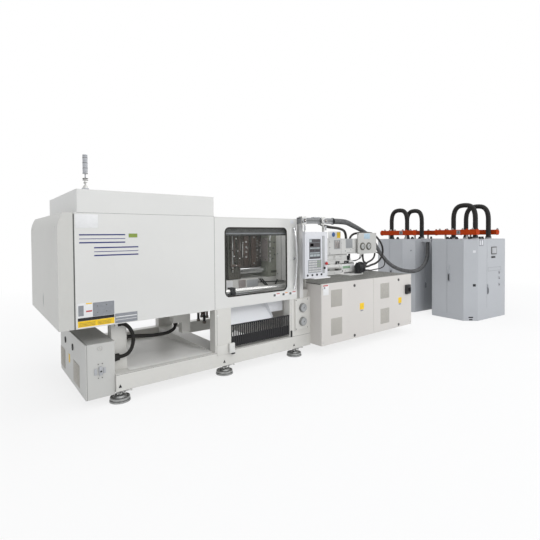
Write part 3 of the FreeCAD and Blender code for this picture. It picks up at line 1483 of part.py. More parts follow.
hose_routes = [                 # diameter, route
    (36.0, shifted(carriage_x1, [
        (-25, 20, 1170.3), (-25, 20, 1300), (-31, 20, 1430), (-12, 16, 1555), (65, 0, 1618),
    ]) + shifted(drive_plate_x1, [
        (-392, -14, 1630), (-272, -18, 1632), (-152, -14, 1632), (-22, 2, 1622), (128, 45, 1580),
        (268, 75, 1510), (383, 90, 1415), (436, 100, 1300), (413, 105, 1190), (328, 112, 1105),
        (188, 95, 1060),
    ]) + shifted(board_x1, [
        (420, 50, 1050), (250, -40, 1050), (110, -122, 1050), (0.3, -122, 1050),
    ])),
    (32.0, shifted(head_x1, [
        (0.3, 200, 1440), (179, 200, 1440), (309, 200, 1395), (379, 198, 1310), (384, 195, 1210),
        (316, 190, 1138), (199, 165, 1108),
    ]) + shifted(board_x1, [
        (370, 108, 1092), (220, 28, 1062), (110, -68, 1050), (0.3, -68, 1050),
    ])),
    (32.0, shifted(head_x1, [
        (-81, 110, 1279.7), (-81, 110, 1195), (-117, 66, 1119),
    ]) + shifted(board_x1, [
        (170, -16, 1104), (112, -95, 1102), (0.3, -95, 1102),
    ])),
    (20.0, shifted(head_x1, [
        (0.3, 90, 1310), (129, 90, 1310), (279, 70, 1275), (409, 50, 1200), (494, 48, 1100),
        (494, 60, 1010), (409, 75, 968), (249, 60, 962),
    ]) + shifted(board_x1, [
        (420, 15, 962), (240, -50, 966), (110, -122, 990), (0.3, -122, 990),
    ])),
    (42.0, shifted(bar_x1, [
        (-90, -719.7, 1784.5), (-90, -635, 1784.5), (-52, -550, 1774), (50, -480, 1745),
        (280, -415, 1712), (676, -234, 1706),
    ]) + shifted(feed_x1, [
        (-167, -62, 1678), (-66, -12, 1635), (-16, 14, 1560), (-11, 20, 1440), (-11, 20, 1270.3),
    ])),
    (14.0, shifted(drive_plate_x0, [
        (70, -60, 1269.7), (70, -60, 1225), (45, -50, 1180),
    ]) + shifted(carriage_x1, [
        (90, -24, 1154), (45, -10, 1150), (0.3, -10, 1150),
    ])),
    (14.0, shifted(drive_plate_x0, [
        (106, -60, 1269.7), (106, -60, 1225), (76, -40, 1180),
    ]) + shifted(carriage_x1, [
        (116, 10, 1154), (55, 30, 1150), (0.3, 30, 1150),
    ])),
]


def main():
    os.makedirs("parts", exist_ok=True)
    save("clamp_base", clamp_base())
    save("levelling_feet", levelling_feet())
    save("drip_tray", drip_tray())
    save("drop_chute", drop_chute())
    save("drop_grille", drop_grille())
    save("pressure_gauges", pressure_gauges())
    save("clamp_cover", clamp_cover())
    save("end_cover", end_cover())
    save("top_hood", top_hood())
    save("gate_panel", gate_panel())
    save("gate_window", gate_window())
    save("gate_handle", gate_handle())
    save("rear_gate", rear_gate())
    save("signal_base", signal_base())
    save("signal_lamp", signal_lamp())
    save("fixed_platen", fixed_platen())
    save("cylinder_platen", cylinder_platen())
    save("moving_platen", moving_platen())
    save("tie_bars", tie_bars())
    save("tie_bar_nuts", tie_bar_nuts())
    save("clamp_cylinder", clamp_cylinder())
    save("clamp_ram", clamp_ram())
    save("mould_fixed_half", mould_fixed_half())
    save("mould_moving_half", mould_moving_half())
    save("ejector", ejector())
    save("bed_housing", bed_housing())
    save("bed_panel_left", bed_panel_left())
    save("bed_panel_right", bed_panel_right())
    save("main_switch", main_switch())
    save("bed_grating", bed_grating())
    save("guide_rails", guide_rails())
    save("injection_carriage", injection_carriage())
    save("barrel", barrel())
    save("injection_screw", injection_screw())
    save("injection_ram", injection_ram())
    save("drive_box", drive_box())
    save("purge_guard", purge_guard())
    save("drive_motors", drive_motors())
    save("panel_bracket", panel_bracket())
    save("panel_hanger", panel_hanger())
    save("control_panel", control_panel())
    save("panel_screen", panel_screen())
    save("emergency_stop", emergency_stop())
    save("selector_switch", selector_switch())
    for index in range(button_count):
        save(f"panel_button_{index + 1}", panel_button(index))
    save("electrical_box", joined(*electrical_box()))
    save("cabinet_front", cabinet("front"))
    save("cabinet_rear", cabinet_rear())
    for which in cabinet_origins:
        save(f"cabinet_{which}_side_door", cabinet_side_door(which))
        save(f"cabinet_{which}_front_door", cabinet_front_door(which))
    save("lifting_frames", group(lifting_frame("front") + lifting_frame("rear")))
    loops = [hose_loop(which, number) for which in cabinet_origins for number in range(2)]
    save("cabinet_hoses", group(loops))
    save("base_conduits", group(bent_tube(f"base conduit {i}", route, base_conduit_diameter)
                                for i, route in enumerate(base_routes)))
    save("trunk_conduit", bent_tube("trunk conduit", trunk_route, trunk_diameter))
    save("injection_hoses", group(bent_tube(f"injection hose {i}", route, diameter)
                                  for i, (diameter, route) in enumerate(hose_routes)))


main()
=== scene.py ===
"""Looks of the injection moulding machine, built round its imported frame."""
import math

import bmesh
import bpy
from mathutils import Matrix, Vector


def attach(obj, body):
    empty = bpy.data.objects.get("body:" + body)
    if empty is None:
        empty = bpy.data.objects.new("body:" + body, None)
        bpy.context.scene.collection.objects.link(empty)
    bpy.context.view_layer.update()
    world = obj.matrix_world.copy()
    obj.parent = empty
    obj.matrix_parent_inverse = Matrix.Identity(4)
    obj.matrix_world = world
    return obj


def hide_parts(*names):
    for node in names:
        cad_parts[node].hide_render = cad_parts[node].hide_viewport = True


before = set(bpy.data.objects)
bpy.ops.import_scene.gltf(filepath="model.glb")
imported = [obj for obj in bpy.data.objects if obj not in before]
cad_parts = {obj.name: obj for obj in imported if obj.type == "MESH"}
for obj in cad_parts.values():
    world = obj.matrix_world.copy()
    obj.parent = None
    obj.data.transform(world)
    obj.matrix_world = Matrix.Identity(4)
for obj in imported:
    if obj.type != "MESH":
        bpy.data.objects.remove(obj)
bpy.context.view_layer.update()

MM = 0.001


# ---------- shader nodes
def cleared(owner):
    """The node tree of a material or world, emptied."""
    owner.use_nodes = True
    owner.node_tree.nodes.clear()
    return owner.node_tree


def node(tree, kind, inputs=(), **settings):
    """A shader node whose inputs are linked from sockets or set to values."""
    made = tree.nodes.new("ShaderNode" + kind)
    for key, value in settings.items():
        setattr(made, key, value)
    for key, value in dict(inputs).items():
        if isinstance(value, bpy.types.NodeSocket):
            tree.links.new(value, made.inputs[key])
        else:
            made.inputs[key].default_value = value
    return made


def maths(tree, operation, *values):
    return node(tree, "Math", enumerate(values), operation=operation).outputs[0]


def ramp(tree, factor, dark, light, ends=(0.0, 1.0)):
    made = node(tree, "ValToRGB", {0: factor})
    for element, position, colour in zip(made.color_ramp.elements, ends, (dark, light)):
        element.position, element.color = position, (*colour, 1)
    return made.outputs[0]


def mixed(tree, factor, a, b):
    inputs = {"Factor": factor, "A": a, "B": b}
    return node(tree, "Mix", inputs, data_type="RGBA").outputs["Result"]


def bumped(tree, height, strength, distance):
    inputs = {"Height": height, "Strength": strength, "Distance": distance}
    return node(tree, "Bump", inputs).outputs[0]


def first(m, kind):
    return next(x for x in m.node_tree.nodes if x.type == kind)


# ---------- materials
ROUGH_SPREAD = 0.06               # the noise moves the roughness by this much either way


def material(name, colour, rough=0.4, metal=0.0, vary=0.06, vary_size=1.2, bump=0.0,
             bump_size=300.0, coat=0.0, dirt=0.0, alpha=1.0, stretch=(1, 1, 1), shine=0.5):
    """Principled surface whose colour, roughness and bump come from noise in object space."""
    m = bpy.data.materials.new(name)
    tree = cleared(m)
    out = node(tree, "OutputMaterial")
    shader = node(tree, "BsdfPrincipled", {
        "Metallic": metal, "Coat Weight": coat, "Alpha": alpha, "Specular IOR Level": shine})
    tree.links.new(shader.outputs[0], out.inputs[0])
    place = node(tree, "TexCoord").outputs["Object"]
    grain = node(tree, "Mapping", {"Vector": place, "Scale": stretch}).outputs[0]
    cloud = node(tree, "TexNoise", {"Vector": grain, "Scale": vary_size, "Detail": 6})
    base = ramp(tree, cloud.outputs["Fac"], [max(0.0, c * (1 - vary)) for c in colour],
                [min(1.0, c * (1 + vary)) for c in colour], (0.3, 0.7))
    if dirt:
        speck = node(tree, "TexNoise", {
            "Vector": place, "Scale": 7.0, "Detail": 10, "Roughness": 0.7})
        share = node(tree, "MapRange", {
            "Value": speck.outputs["Fac"], "From Min": 0.56, "From Max": 0.75, "To Max": dirt})
        base = mixed(tree, share.outputs[0], base, (*[c * 0.55 for c in colour], 1))
    tree.links.new(base, shader.inputs["Base Color"])
    fine = node(tree, "TexNoise", {"Vector": grain, "Scale": bump_size, "Detail": 3}).outputs["Fac"]
    spread = node(tree, "MapRange", {
        "Value": fine, "To Min": max(0.02, rough - ROUGH_SPREAD),
        "To Max": min(1.0, rough + ROUGH_SPREAD)})
    tree.links.new(spread.outputs[0], shader.inputs["Roughness"])
    if bump:
        tree.links.new(bumped(tree, fine, bump, 0.0006), shader.inputs["Normal"])
    return m


def dotted(name, colour, hole, pitch, share, axes="XZ", metal=0.0):
    """A perforated sheet: round holes on a square grid in object space, their dark colour painted
    shade behind them.
    """
    m = material(name, colour, 0.5, metal)
    tree, shader = m.node_tree, first(m, "BSDF_PRINCIPLED")
    split = node(tree, "SeparateXYZ", {0: first(m, "TEX_COORD").outputs["Object"]})
    squares = []
    for axis in axes:
        cell = maths(tree, "FRACT", maths(tree, "MULTIPLY", split.outputs[axis], 1 / pitch))
        squares.append(maths(tree, "POWER", maths(tree, "SUBTRACT", cell, 0.5), 2))
    edge = (0.5 * share) ** 2
    sheet = node(tree, "MapRange", {
        "Value": maths(tree, "ADD", *squares), "From Min": edge * 0.8, "From Max": edge * 1.2})
    base = shader.inputs["Base Color"]
    # the hole colour is painted shade seen through the holes
    tree.links.new(mixed(tree, sheet.outputs[0], (*hole, 1), base.links[0].from_socket), base)
    tree.links.new(bumped(tree, sheet.outputs[0], 0.6, 0.002), shader.inputs["Normal"])
    return m


def two_tone(m, colour, level):
    """Gives m another colour below a height in object space."""
    tree, base = m.node_tree, first(m, "BSDF_PRINCIPLED").inputs["Base Color"]
    split = node(tree, "SeparateXYZ", {0: first(m, "TEX_COORD").outputs["Object"]})
    under = maths(tree, "LESS_THAN", split.outputs["Z"], level)
    other = ramp(tree, first(m, "TEX_NOISE").outputs["Fac"],
                 [c * 0.88 for c in colour], [c * 1.1 for c in colour])
    tree.links.new(mixed(tree, under, base.links[0].from_socket, other), base)
    return m


def cream(name, colour, rough=0.4, vary=0.02, dirt=0.05):
    return material(name, colour, rough, bump=0.05, bump_size=420, coat=0.1, vary=vary, dirt=dirt)


CREAM = cream("cream_paint", (0.70, 0.697, 0.675))
CREAM_OLD = cream("cream_paint_base", (0.665, 0.655, 0.62), 0.45, 0.04, 0.15)
# darker copy of the cream paint: painted shade on the left-facing end cover
END_SHADED_PAINT = cream("cream_paint_end_shaded", (0.585, 0.58, 0.55), 0.45, 0.03, 0.1)
# darker copy of the cream paint: painted shade of the electrical box under the clamp cover's
# overhang, also used on the drive box
BOX_SHADED_PAINT = cream("cream_paint_box_shaded", (0.55, 0.548, 0.525), 0.45, 0.03, 0.12)
# lighter copy of the cream paint: painted light on the drip tray and the inner sheet; its speckle
# is real dirt
TRAY_LIT_PAINT = cream("cream_paint_tray_lit", (0.86, 0.85, 0.82), 0.5, 0.05, 0.2)
BED_PAINT = cream("cream_paint_bed", (0.64, 0.615, 0.585), 0.4, 0.02, 0.08)
BRACKET_PAINT = two_tone(
    material(
        "post_paint", (0.25, 0.255, 0.26), 0.45, bump=0.05, bump_size=400, vary=0.04, dirt=0.1),
    (0.70, 0.695, 0.68), 1.745)
CABINET = material(
    "cabinet_paint", (0.455, 0.47, 0.492), 0.42, bump=0.08, bump_size=500, vary=0.025, dirt=0.05)
GREY_SHEET = material("grey_sheet", (0.40, 0.41, 0.415), 0.45, vary=0.05, dirt=0.15)
CHUTE = material("chute_sheet", (0.80, 0.81, 0.83), 0.4, vary=0.03, dirt=0.06)
ORANGE = two_tone(
    material(
        "orange_paint", (0.40, 0.040, 0.002), 0.6, bump=0.08, bump_size=300, vary=0.12, dirt=0.12,
        shine=0.12),
    (0.50, 0.50, 0.48), 1.579)
PLATEN = material(
    "platen_paint", (0.27, 0.275, 0.225), 0.5, bump=0.15, bump_size=220, vary=0.12, dirt=0.35,
    shine=0.4)
PLATEN_DARK = material(
    "platen_paint_dark", (0.085, 0.078, 0.062), 0.5, bump=0.2, bump_size=180, vary=0.35, dirt=0.5,
    shine=0.4)
STEEL = material(
    "ground_steel", (0.50, 0.50, 0.49), 0.3, 1.0, vary=0.08, vary_size=9, bump=0.05,
    stretch=(1, 6, 6))
DARK_STEEL = material(
    "oiled_steel", (0.10, 0.085, 0.072), 0.42, 0.5, vary=0.35, vary_size=5, bump=0.15,
    bump_size=160, dirt=0.4)
CHROME = material("chromed_steel", (0.72, 0.73, 0.74), 0.1, 1.0, vary=0.03, bump_size=60)
IRON = material(
    "foot_iron", (0.33, 0.335, 0.33), 0.38, 0.8, vary=0.2, vary_size=20, bump=0.3, bump_size=180)
BLACK = material(
    "black_plastic", (0.018, 0.018, 0.02), 0.42, vary=0.2, bump=0.15, bump_size=500, shine=0.35)
RUBBER = material(
    "black_rubber", (0.014, 0.013, 0.012), 0.55, vary=0.25, vary_size=14, bump=0.3, bump_size=260,
    shine=0.25)
HOSE = material(
    "hose_rubber", (0.020, 0.018, 0.016), 0.45, vary=0.2, vary_size=16, bump=0.2, bump_size=220,
    shine=0.35)
CONDUIT = material(
    "grey_conduit", (0.090, 0.092, 0.094), 0.55, vary=0.4, vary_size=26, bump=0.4, bump_size=150)
RED = material("red_plastic", (0.50, 0.02, 0.02), 0.3, vary=0.05, coat=0.4)
YELLOW = material("yellow_print", (0.86, 0.56, 0.012), 0.5, vary=0.06, vary_size=30)
WHITE = material("white_print", (0.78, 0.78, 0.78), 0.45, vary=0.03, vary_size=30)
GREY_PRINT = material("grey_print", (0.26, 0.27, 0.29), 0.5, vary=0.08, vary_size=40)
OLIVE = material(
    "nut_paint", (0.075, 0.075, 0.055), 0.42, vary=0.15, vary_size=8, bump=0.1, dirt=0.3)
BROWN = material(
    "oiled_plate", (0.13, 0.095, 0.08), 0.42, 0.4, vary=0.3, vary_size=7, bump=0.15, bump_size=150,
    dirt=0.3)
PINK = material(
    "primed_steel", (0.36, 0.32, 0.305), 0.45, 0.2, vary=0.12, vary_size=6, bump=0.1, dirt=0.2)
BRIGHT = material("bright_steel", (0.80, 0.80, 0.78), 0.25, 0.85, vary=0.05, vary_size=8)
ORANGE_PRINT = material("orange_print", (0.75, 0.28, 0.04), 0.5, vary=0.06, vary_size=30)
KEY = material("key_plastic", (0.60, 0.60, 0.59), 0.45, vary=0.05, vary_size=60, bump=0.1)
KEY_GREEN = material("key_green", (0.30, 0.36, 0.27), 0.45, vary=0.06, vary_size=60, bump=0.1)
DIAL = material("dial_face", (0.46, 0.47, 0.46), 0.35, vary=0.05, vary_size=40, coat=0.3)
SEAM = material("seam_shadow", (0.10, 0.10, 0.095), 0.7, vary=0.15, vary_size=20)
NAVY = material("navy_print", (0.02, 0.025, 0.16), 0.45, vary=0.1, vary_size=30)
GREEN = material("green_print", (0.22, 0.30, 0.05), 0.5, vary=0.1)
BLUE = material("blue_print", (0.05, 0.13, 0.35), 0.45, vary=0.1)
GREEN_FIELD = material("green_field", (0.27, 0.42, 0.28), 0.5, vary=0.1, vary_size=30)
BLUE_FIELD = material("blue_field", (0.44, 0.58, 0.68), 0.5, vary=0.08, vary_size=30)
LILAC = material("panel_grey", (0.68, 0.685, 0.71), 0.4, vary=0.03, bump=0.05)
BEZEL = material("bezel_grey", (0.66, 0.67, 0.70), 0.4, vary=0.02, bump=0.05)
SCREEN = material("screen_glass", (0.115, 0.12, 0.13), 0.2, vary=0.1, vary_size=12)
SCREEN_DARK = material("screen_dark", (0.055, 0.05, 0.055), 0.25, vary=0.2, vary_size=30)
SCREEN_PALE = material("screen_pale", (0.36, 0.40, 0.41), 0.25, vary=0.15, vary_size=30)
LAMP = material("lamp_plastic", (0.42, 0.43, 0.45), 0.3, vary=0.05, coat=0.3)
GLASS = material("window_pane", (0.22, 0.24, 0.23), 0.05, vary=0.02, alpha=0.05)
VENT = dotted("vent_sheet", (0.50, 0.48, 0.44), (0.24, 0.23, 0.205), 0.011, 0.62)
VENT_SIDE = dotted("vent_sheet_side", (0.46, 0.435, 0.385), (0.24, 0.225, 0.19), 0.011, 0.62, "YZ")
GRATING = dotted(
    "grating_sheet", (0.22, 0.22, 0.20), (0.06, 0.06, 0.055), 0.024, 0.66, "XY", metal=0.3)

CAD_LOOKS = {
    END_SHADED_PAINT: "end_cover",
    BOX_SHADED_PAINT: "electrical_box drive_box",
    BED_PAINT: "bed_housing bed_panel_left bed_panel_right",
    TRAY_LIT_PAINT: "drip_tray",
    BRACKET_PAINT: "panel_bracket",
    CREAM: "clamp_cover top_hood gate_panel rear_gate purge_guard injection_carriage",
    CREAM_OLD: "clamp_base",
    CABINET: "cabinet_front cabinet_rear cabinet_front_side_door cabinet_front_front_door "
             "cabinet_rear_side_door cabinet_rear_front_door",
    CHUTE: "drop_chute",
    ORANGE: "lifting_frames",
    PLATEN: "fixed_platen cylinder_platen clamp_cylinder",
    PLATEN_DARK: "moving_platen",
    OLIVE: "tie_bar_nuts",
    STEEL: "ejector guide_rails barrel injection_screw signal_base panel_hanger",
    DARK_STEEL: "mould_fixed_half mould_moving_half",
    CHROME: "tie_bars clamp_ram gate_handle injection_ram",
    IRON: "levelling_feet pressure_gauges",
    BLACK: "drop_grille main_switch drive_motors selector_switch panel_button_1 panel_button_2 "
           "panel_button_3 panel_button_4",
    RED: "emergency_stop",
    LILAC: "control_panel",
    SCREEN: "panel_screen",
    LAMP: "signal_lamp",
    GLASS: "gate_window",
    GRATING: "bed_grating",
    RUBBER: "cabinet_hoses base_conduits injection_hoses",
    CONDUIT: "trunk_conduit",
}
for look, names in CAD_LOOKS.items():
    for name in names.split():
        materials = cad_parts[name].data.materials
        materials.clear()
        materials.append(look)


# ---------- mesh tools
def linked(name, data):
    obj = bpy.data.objects.new(name, data)
    bpy.context.scene.collection.objects.link(obj)
    return obj


def settled(name, mesh, looks, sharp, body):
    """Turns a bmesh into a smooth object, sharp above an angle, that rides on a body."""
    data = bpy.data.meshes.new(name)
    mesh.to_mesh(data)
    mesh.free()
    for look in looks:
        data.materials.append(look)
    data.shade_smooth()
    data.set_sharp_from_angle(angle=math.radians(sharp))
    obj = linked(name, data)
    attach(obj, body)
    return obj


BEVELLED = 0.6                    # radians between its faces above which an edge is bevelled


class Piece:
    """Collects bevelled solids, in millimetres, into one object that rides on a body.

    face is the Y of the plane that the piece's fields lie on."""

    def __init__(self, name, body="machine", place=None, face=0):
        self.name, self.body, self.face = name, body, face
        self.place = place or Matrix.Identity(4)
        self.mesh = bmesh.new()
        self.looks = []

    def _paint(self, faces, look):
        if look not in self.looks:
            self.looks.append(look)
        for f in faces:
            f.material_index = self.looks.index(look)

    def _take(self, verts, look, bevel):
        self._paint({f for v in verts for f in v.link_faces}, look)
        if bevel:
            edges = list({e for v in verts for e in v.link_edges
                          if e.calc_face_angle(0) > BEVELLED})
            made = bmesh.ops.bevel(self.mesh, geom=edges, offset=bevel, segments=2,
                                   profile=0.5, affect="EDGES", clamp_overlap=True)
            self._paint(made["faces"], look)

    def box(self, x0, x1, y0, y1, z0, z1, look, bevel=1.5):
        made = bmesh.ops.create_cube(self.mesh, size=1)["verts"]
        for v in made:
            v.co = Vector(((x0 + x1) / 2 + v.co.x * (x1 - x0), (y0 + y1) / 2 + v.co.y * (y1 - y0),
                           (z0 + z1) / 2 + v.co.z * (z1 - z0)))
        self._take(made, look, bevel)

    def field(self, x0, x1, z0, z1, proud, look, bevel=0, sunk=1):
        """A box through the piece's face plane, from proud of it to sunk behind it."""
        self.box(x0, x1, self.face - proud, self.face + sunk, z0, z1, look, bevel)

    def rod(self, start, end, radius, look, end_radius=None, bevel=1.0, sides=28):
        a, b = Vector(start), Vector(end)
        turn = (b - a).to_track_quat("Z", "Y").to_matrix().to_4x4()
        made = bmesh.ops.create_cone(
            self.mesh, cap_ends=True, segments=sides, radius1=radius,
            radius2=radius if end_radius is None else end_radius, depth=(b - a).length,
            matrix=Matrix.Translation((a + b) / 2) @ turn)["verts"]
        self._take(made, look, bevel)

    def bar(self, y, z, x0, x1, *how, **more):
        """A rod along X."""
        self.rod((x0, y, z), (x1, y, z), *how, **more)

    def stud(self, x, z, y0, y1, *how, **more):
        """A rod along Y."""
        self.rod((x, y0, z), (x, y1, z), *how, **more)

    def post(self, x, y, z0, z1, *how, **more):
        """A rod along Z."""
        self.rod((x, y, z0), (x, y, z1), *how, **more)

    def ticks(self, x, y, z, angles, inner, outer, radius):
        """Marks of a dial that faces the front, at angles in degrees."""
        for a in map(math.radians, angles):
            dx, dz = math.cos(a), math.sin(a)
            self.rod((x + inner * dx, y, z + inner * dz), (x + outer * dx, y, z + outer * dz),
                     radius, SEAM, bevel=0, sides=6)

    def plate(self, outline, travel, look, bevel):
        """A flat outline, extruded along travel."""
        base = [self.mesh.verts.new(c) for c in outline]
        top = [self.mesh.verts.new(Vector(c) + Vector(travel)) for c in outline]
        self.mesh.faces.new(base[::-1])
        self.mesh.faces.new(top)
        count = len(base)
        for i in range(count):
            j = (i + 1) % count
            self.mesh.faces.new((base[i], base[j], top[j], top[i]))
        faces = {f for v in base + top for f in v.link_faces}
        bmesh.ops.recalc_face_normals(self.mesh, faces=list(faces))
        self._take(base + top, look, bevel)

    def ring(self, outer, inner, travel, look):
        """A flat frame between two outlines of as many corners, extruded along travel."""
        count = len(outer)
        rows = [[self.mesh.verts.new(Vector(c) + t) for c in outline]
                for outline in (outer, inner) for t in (Vector(), Vector(travel))]
        faces = []
        for i in range(count):
            j = (i + 1) % count
            for a, b in ((0, 2), (2, 3), (3, 1), (1, 0)):
                faces.append(self.mesh.faces.new((rows[a][i], rows[b][i], rows[b][j], rows[a][j])))
        bmesh.ops.recalc_face_normals(self.mesh, faces=faces)
        self._paint(faces, look)

    def done(self):
        self.mesh.transform(self.place)
        self.mesh.transform(Matrix.Scale(MM, 4))
        settled(self.name, self.mesh, self.looks, 32, self.body)


def corners(x0, x1, y, z0, z1):
    return [(x0, y, z0), (x1, y, z0), (x1, y, z1), (x0, y, z1)]


def rounded(x0, x1, y, z0, z1, radius):
    """Corner points of a rounded rectangle in the plane of constant y."""
    steps = 6
    points = []
    for cx, cz, start in ((x1 - radius, z1 - radius, 0), (x0 + radius, z1 - radius, 90),
                          (x0 + radius, z0 + radius, 180), (x1 - radius, z0 + radius, 270)):
        for k in range(steps + 1):
            a = math.radians(start + 90 * k / steps)
            points.append((cx + radius * math.cos(a), y, cz + radius * math.sin(a)))
    return points


def circle(x, y, z, radius, sides):
    angles = (2 * math.pi * k / sides for k in range(sides))
    return [(x + radius * math.cos(a), y, z + radius * math.sin(a)) for a in angles]


# ---------- cords
def route(name, points):
    """A smooth curve with the route's points as its control points."""
    data = bpy.data.curves.new(name, "CURVE")
    data.dimensions = "3D"
    spline = data.splines.new("NURBS")
    spline.points.add(len(points) - 1)
    for p, co in zip(spline.points, points):
        p.co = (co[0] * MM, co[1] * MM, co[2] * MM, 1)
    spline.order_u = 3
    spline.use_endpoint_u = True
    data.resolution_u = 14
    return linked(name, data)


def line_of(curve):
    """Points along a route, as its mesh gives them."""
    bpy.context.view_layer.update()
    graph = bpy.context.evaluated_depsgraph_get()
    data = bpy.data.meshes.new_from_object(curve.evaluated_get(graph))
    points = [v.co.copy() for v in data.vertices]
    bpy.data.meshes.remove(data)
    return points


def measure(points):
    return sum((b - a).length for a, b in zip(points, points[1:]))


def cord(name, points, diameter, nodes):
    """A plain round hose of the injection unit along a route."""
    curve = route(name, points)
    length = measure(line_of(curve))
    curve.data.bevel_depth = diameter * MM / 2
    curve.data.bevel_resolution = 6
    curve.data.use_fill_caps = True
    curve.data.materials.append(HOSE)
    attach(curve, "carriage")
    if nodes:
        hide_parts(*nodes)


def ribbed(name, points, diameter, pitch, depth, look, nodes):
    """A corrugated tube of the machine: rings of two radii along a route."""
    curve = route(name, points)
    line = line_of(curve)
    bpy.data.objects.remove(curve)
    length = measure(line)
    walk = [0.0]
    for a, b in zip(line, line[1:]):
        walk.append(walk[-1] + (b - a).length)

    def at(distance):
        distance = min(max(distance, 0.0), length)
        i = 0
        while i < len(walk) - 2 and walk[i + 1] < distance:
            i += 1
        share = (distance - walk[i]) / max(1e-9, walk[i + 1] - walk[i])
        return line[i].lerp(line[i + 1], share)

    mesh = bmesh.new()
    ribs = max(4, round(length / (pitch * MM)))
    step = length / ribs
    sides = 20
    side = last = None
    radius = diameter * MM / 2
    for k in range(4 * ribs + 1):     # four rings to a rib: the second and third are its crest
        distance = k * step / 4
        here = at(distance)
        ahead = (at(distance + step / 2) - at(distance - step / 2)).normalized()
        if side is None:
            side = ahead.orthogonal().normalized()
        side = (side - ahead * side.dot(ahead)).normalized()
        other = ahead.cross(side)
        r = radius if k % 4 in (1, 2) else radius - depth * MM
        ring = [mesh.verts.new(here + (side * math.cos(a) + other * math.sin(a)) * r)
                for a in (2 * math.pi * j / sides for j in range(sides))]
        if last:
            for j in range(sides):
                mesh.faces.new((last[j], last[(j + 1) % sides], ring[(j + 1) % sides], ring[j]))
        else:
            mesh.faces.new(ring[::-1])
        last = ring
    mesh.faces.new(last)
    obj = settled(name, mesh, [look], 60, "machine")
    if nodes:
        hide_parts(*nodes)


TRUNK = [
    (-699.7, -740, 1784.5), (-493, -740, 1784.5), (-173, -560, 1776), (227, -310, 1748),
    (677, -50, 1712), (1127, 200, 1664), (1487, 360, 1600), (1737, 450, 1500), (1847, 430, 1350),
    (1890, 330, 1170), (1950, 190, 1000), (2060, 40, 905), (2260, -80, 862), (2480, -125, 895),
    (2680, -120, 1000), (2820, -92, 1120), (2876.7, -67.9, 1270), (2876.7, -67.9, 1439.7),
]
BASE_CONDUITS = [
    [(-3463.7, -470, 417), (-3398, -470, 417), (-3346, -470, 462), (-3321, -470, 540),
     (-3324, -470, 618), (-3358, -470, 690), (-3415, -470, 743), (-3479.7, -470, 743)],
    [(-3371.7, -370, 575), (-3290, -370, 575), (-3160, -330, 545), (-3023, -270, 520),
     (-2893, -205, 501), (-2790, -135, 492), (-2706, -80, 508), (-2686, -66, 545),
     (-2686, -66, 576.7)],
]
HOSES = [    # diameter and route of each hose of the injection unit
    (36, [(535, 20, 1170.3), (535, 20, 1300), (529, 20, 1430), (548, 16, 1555), (625, 0, 1618),
     (770, -14, 1630), (890, -18, 1632), (1010, -14, 1632), (1140, 2, 1622), (1290, 45, 1580),
     (1430, 75, 1510), (1545, 90, 1415), (1598, 100, 1300), (1575, 105, 1190), (1490, 112, 1105),
     (1350, 95, 1060), (1180, 50, 1050), (1010, -40, 1050), (870, -122, 1050),
     (760.3, -122, 1050)]),
    (32, [(1091.3, 200, 1440), (1270, 200, 1440), (1400, 200, 1395), (1470, 198, 1310),
     (1475, 195, 1210), (1407, 190, 1138), (1290, 165, 1108), (1130, 108, 1092), (980, 28, 1062),
     (870, -68, 1050), (760.3, -68, 1050)]),
    (32, [(1010, 110, 1279.7), (1010, 110, 1195), (974, 66, 1119), (930, -16, 1104),
     (872, -95, 1102), (760.3, -95, 1102)]),
    (20, [(1091.3, 90, 1310), (1220, 90, 1310), (1370, 70, 1275), (1500, 50, 1200),
     (1585, 48, 1100), (1585, 60, 1010), (1500, 75, 968), (1340, 60, 962), (1180, 15, 962),
     (1000, -50, 966), (870, -122, 990), (760.3, -122, 990)]),
    (42, [(-790, -719.7, 1784.5), (-790, -635, 1784.5), (-752, -550, 1774), (-650, -480, 1745),
     (-420, -415, 1712), (-24, -234, 1706), (300, -62, 1678), (401, -12, 1635), (451, 14, 1560),
     (456, 20, 1440), (456, 20, 1270.3)]),
    (14, [(731, -60, 1269.7), (731, -60, 1225), (706, -50, 1180), (650, -24, 1154),
     (605, -10, 1150), (560.3, -10, 1150)]),
    (14, [(767, -60, 1269.7), (767, -60, 1225), (737, -40, 1180), (676, 10, 1154), (615, 30, 1150),
     (560.3, 30, 1150)]),
]
CABINETS = {"front": (2554.8, -1093.7), "rear": (2424.8, 84.3)}
LOOPS = {"front": ((390, 150, 585, 2136), (880, 167, 616, 2131)),
         "rear": ((360, 312, 717, 2106), (722, 213, 587, 2100))}
ROOF_Z = 1500


def cabinet_place(which):
    return Matrix.Translation((*CABINETS[which], 0)) @ Matrix.Rotation(math.radians(-5), 4, "Z")


def loop_points(which, x, y0, y1, crown_z):
    """Control points of a loop of hose between two openings in a cabinet roof."""
    middle, reach = (y0 + y1) / 2, (y1 - y0) / 2
    spring = crown_z - reach
    outline = [(y0, ROOF_Z), (y0, ROOF_Z + (spring - ROOF_Z) * 0.6), (y0, spring + 0.38 * reach),
               (middle - 0.66 * reach, crown_z - 0.02 * reach), (middle, crown_z + 0.09 * reach),
               (middle + 0.66 * reach, crown_z - 0.02 * reach), (y1, spring + 0.38 * reach),
               (y1, ROOF_Z + (spring - ROOF_Z) * 0.6), (y1, ROOF_Z)]
    return [tuple(cabinet_place(which) @ Vector((x, y, z))) for y, z in outline]


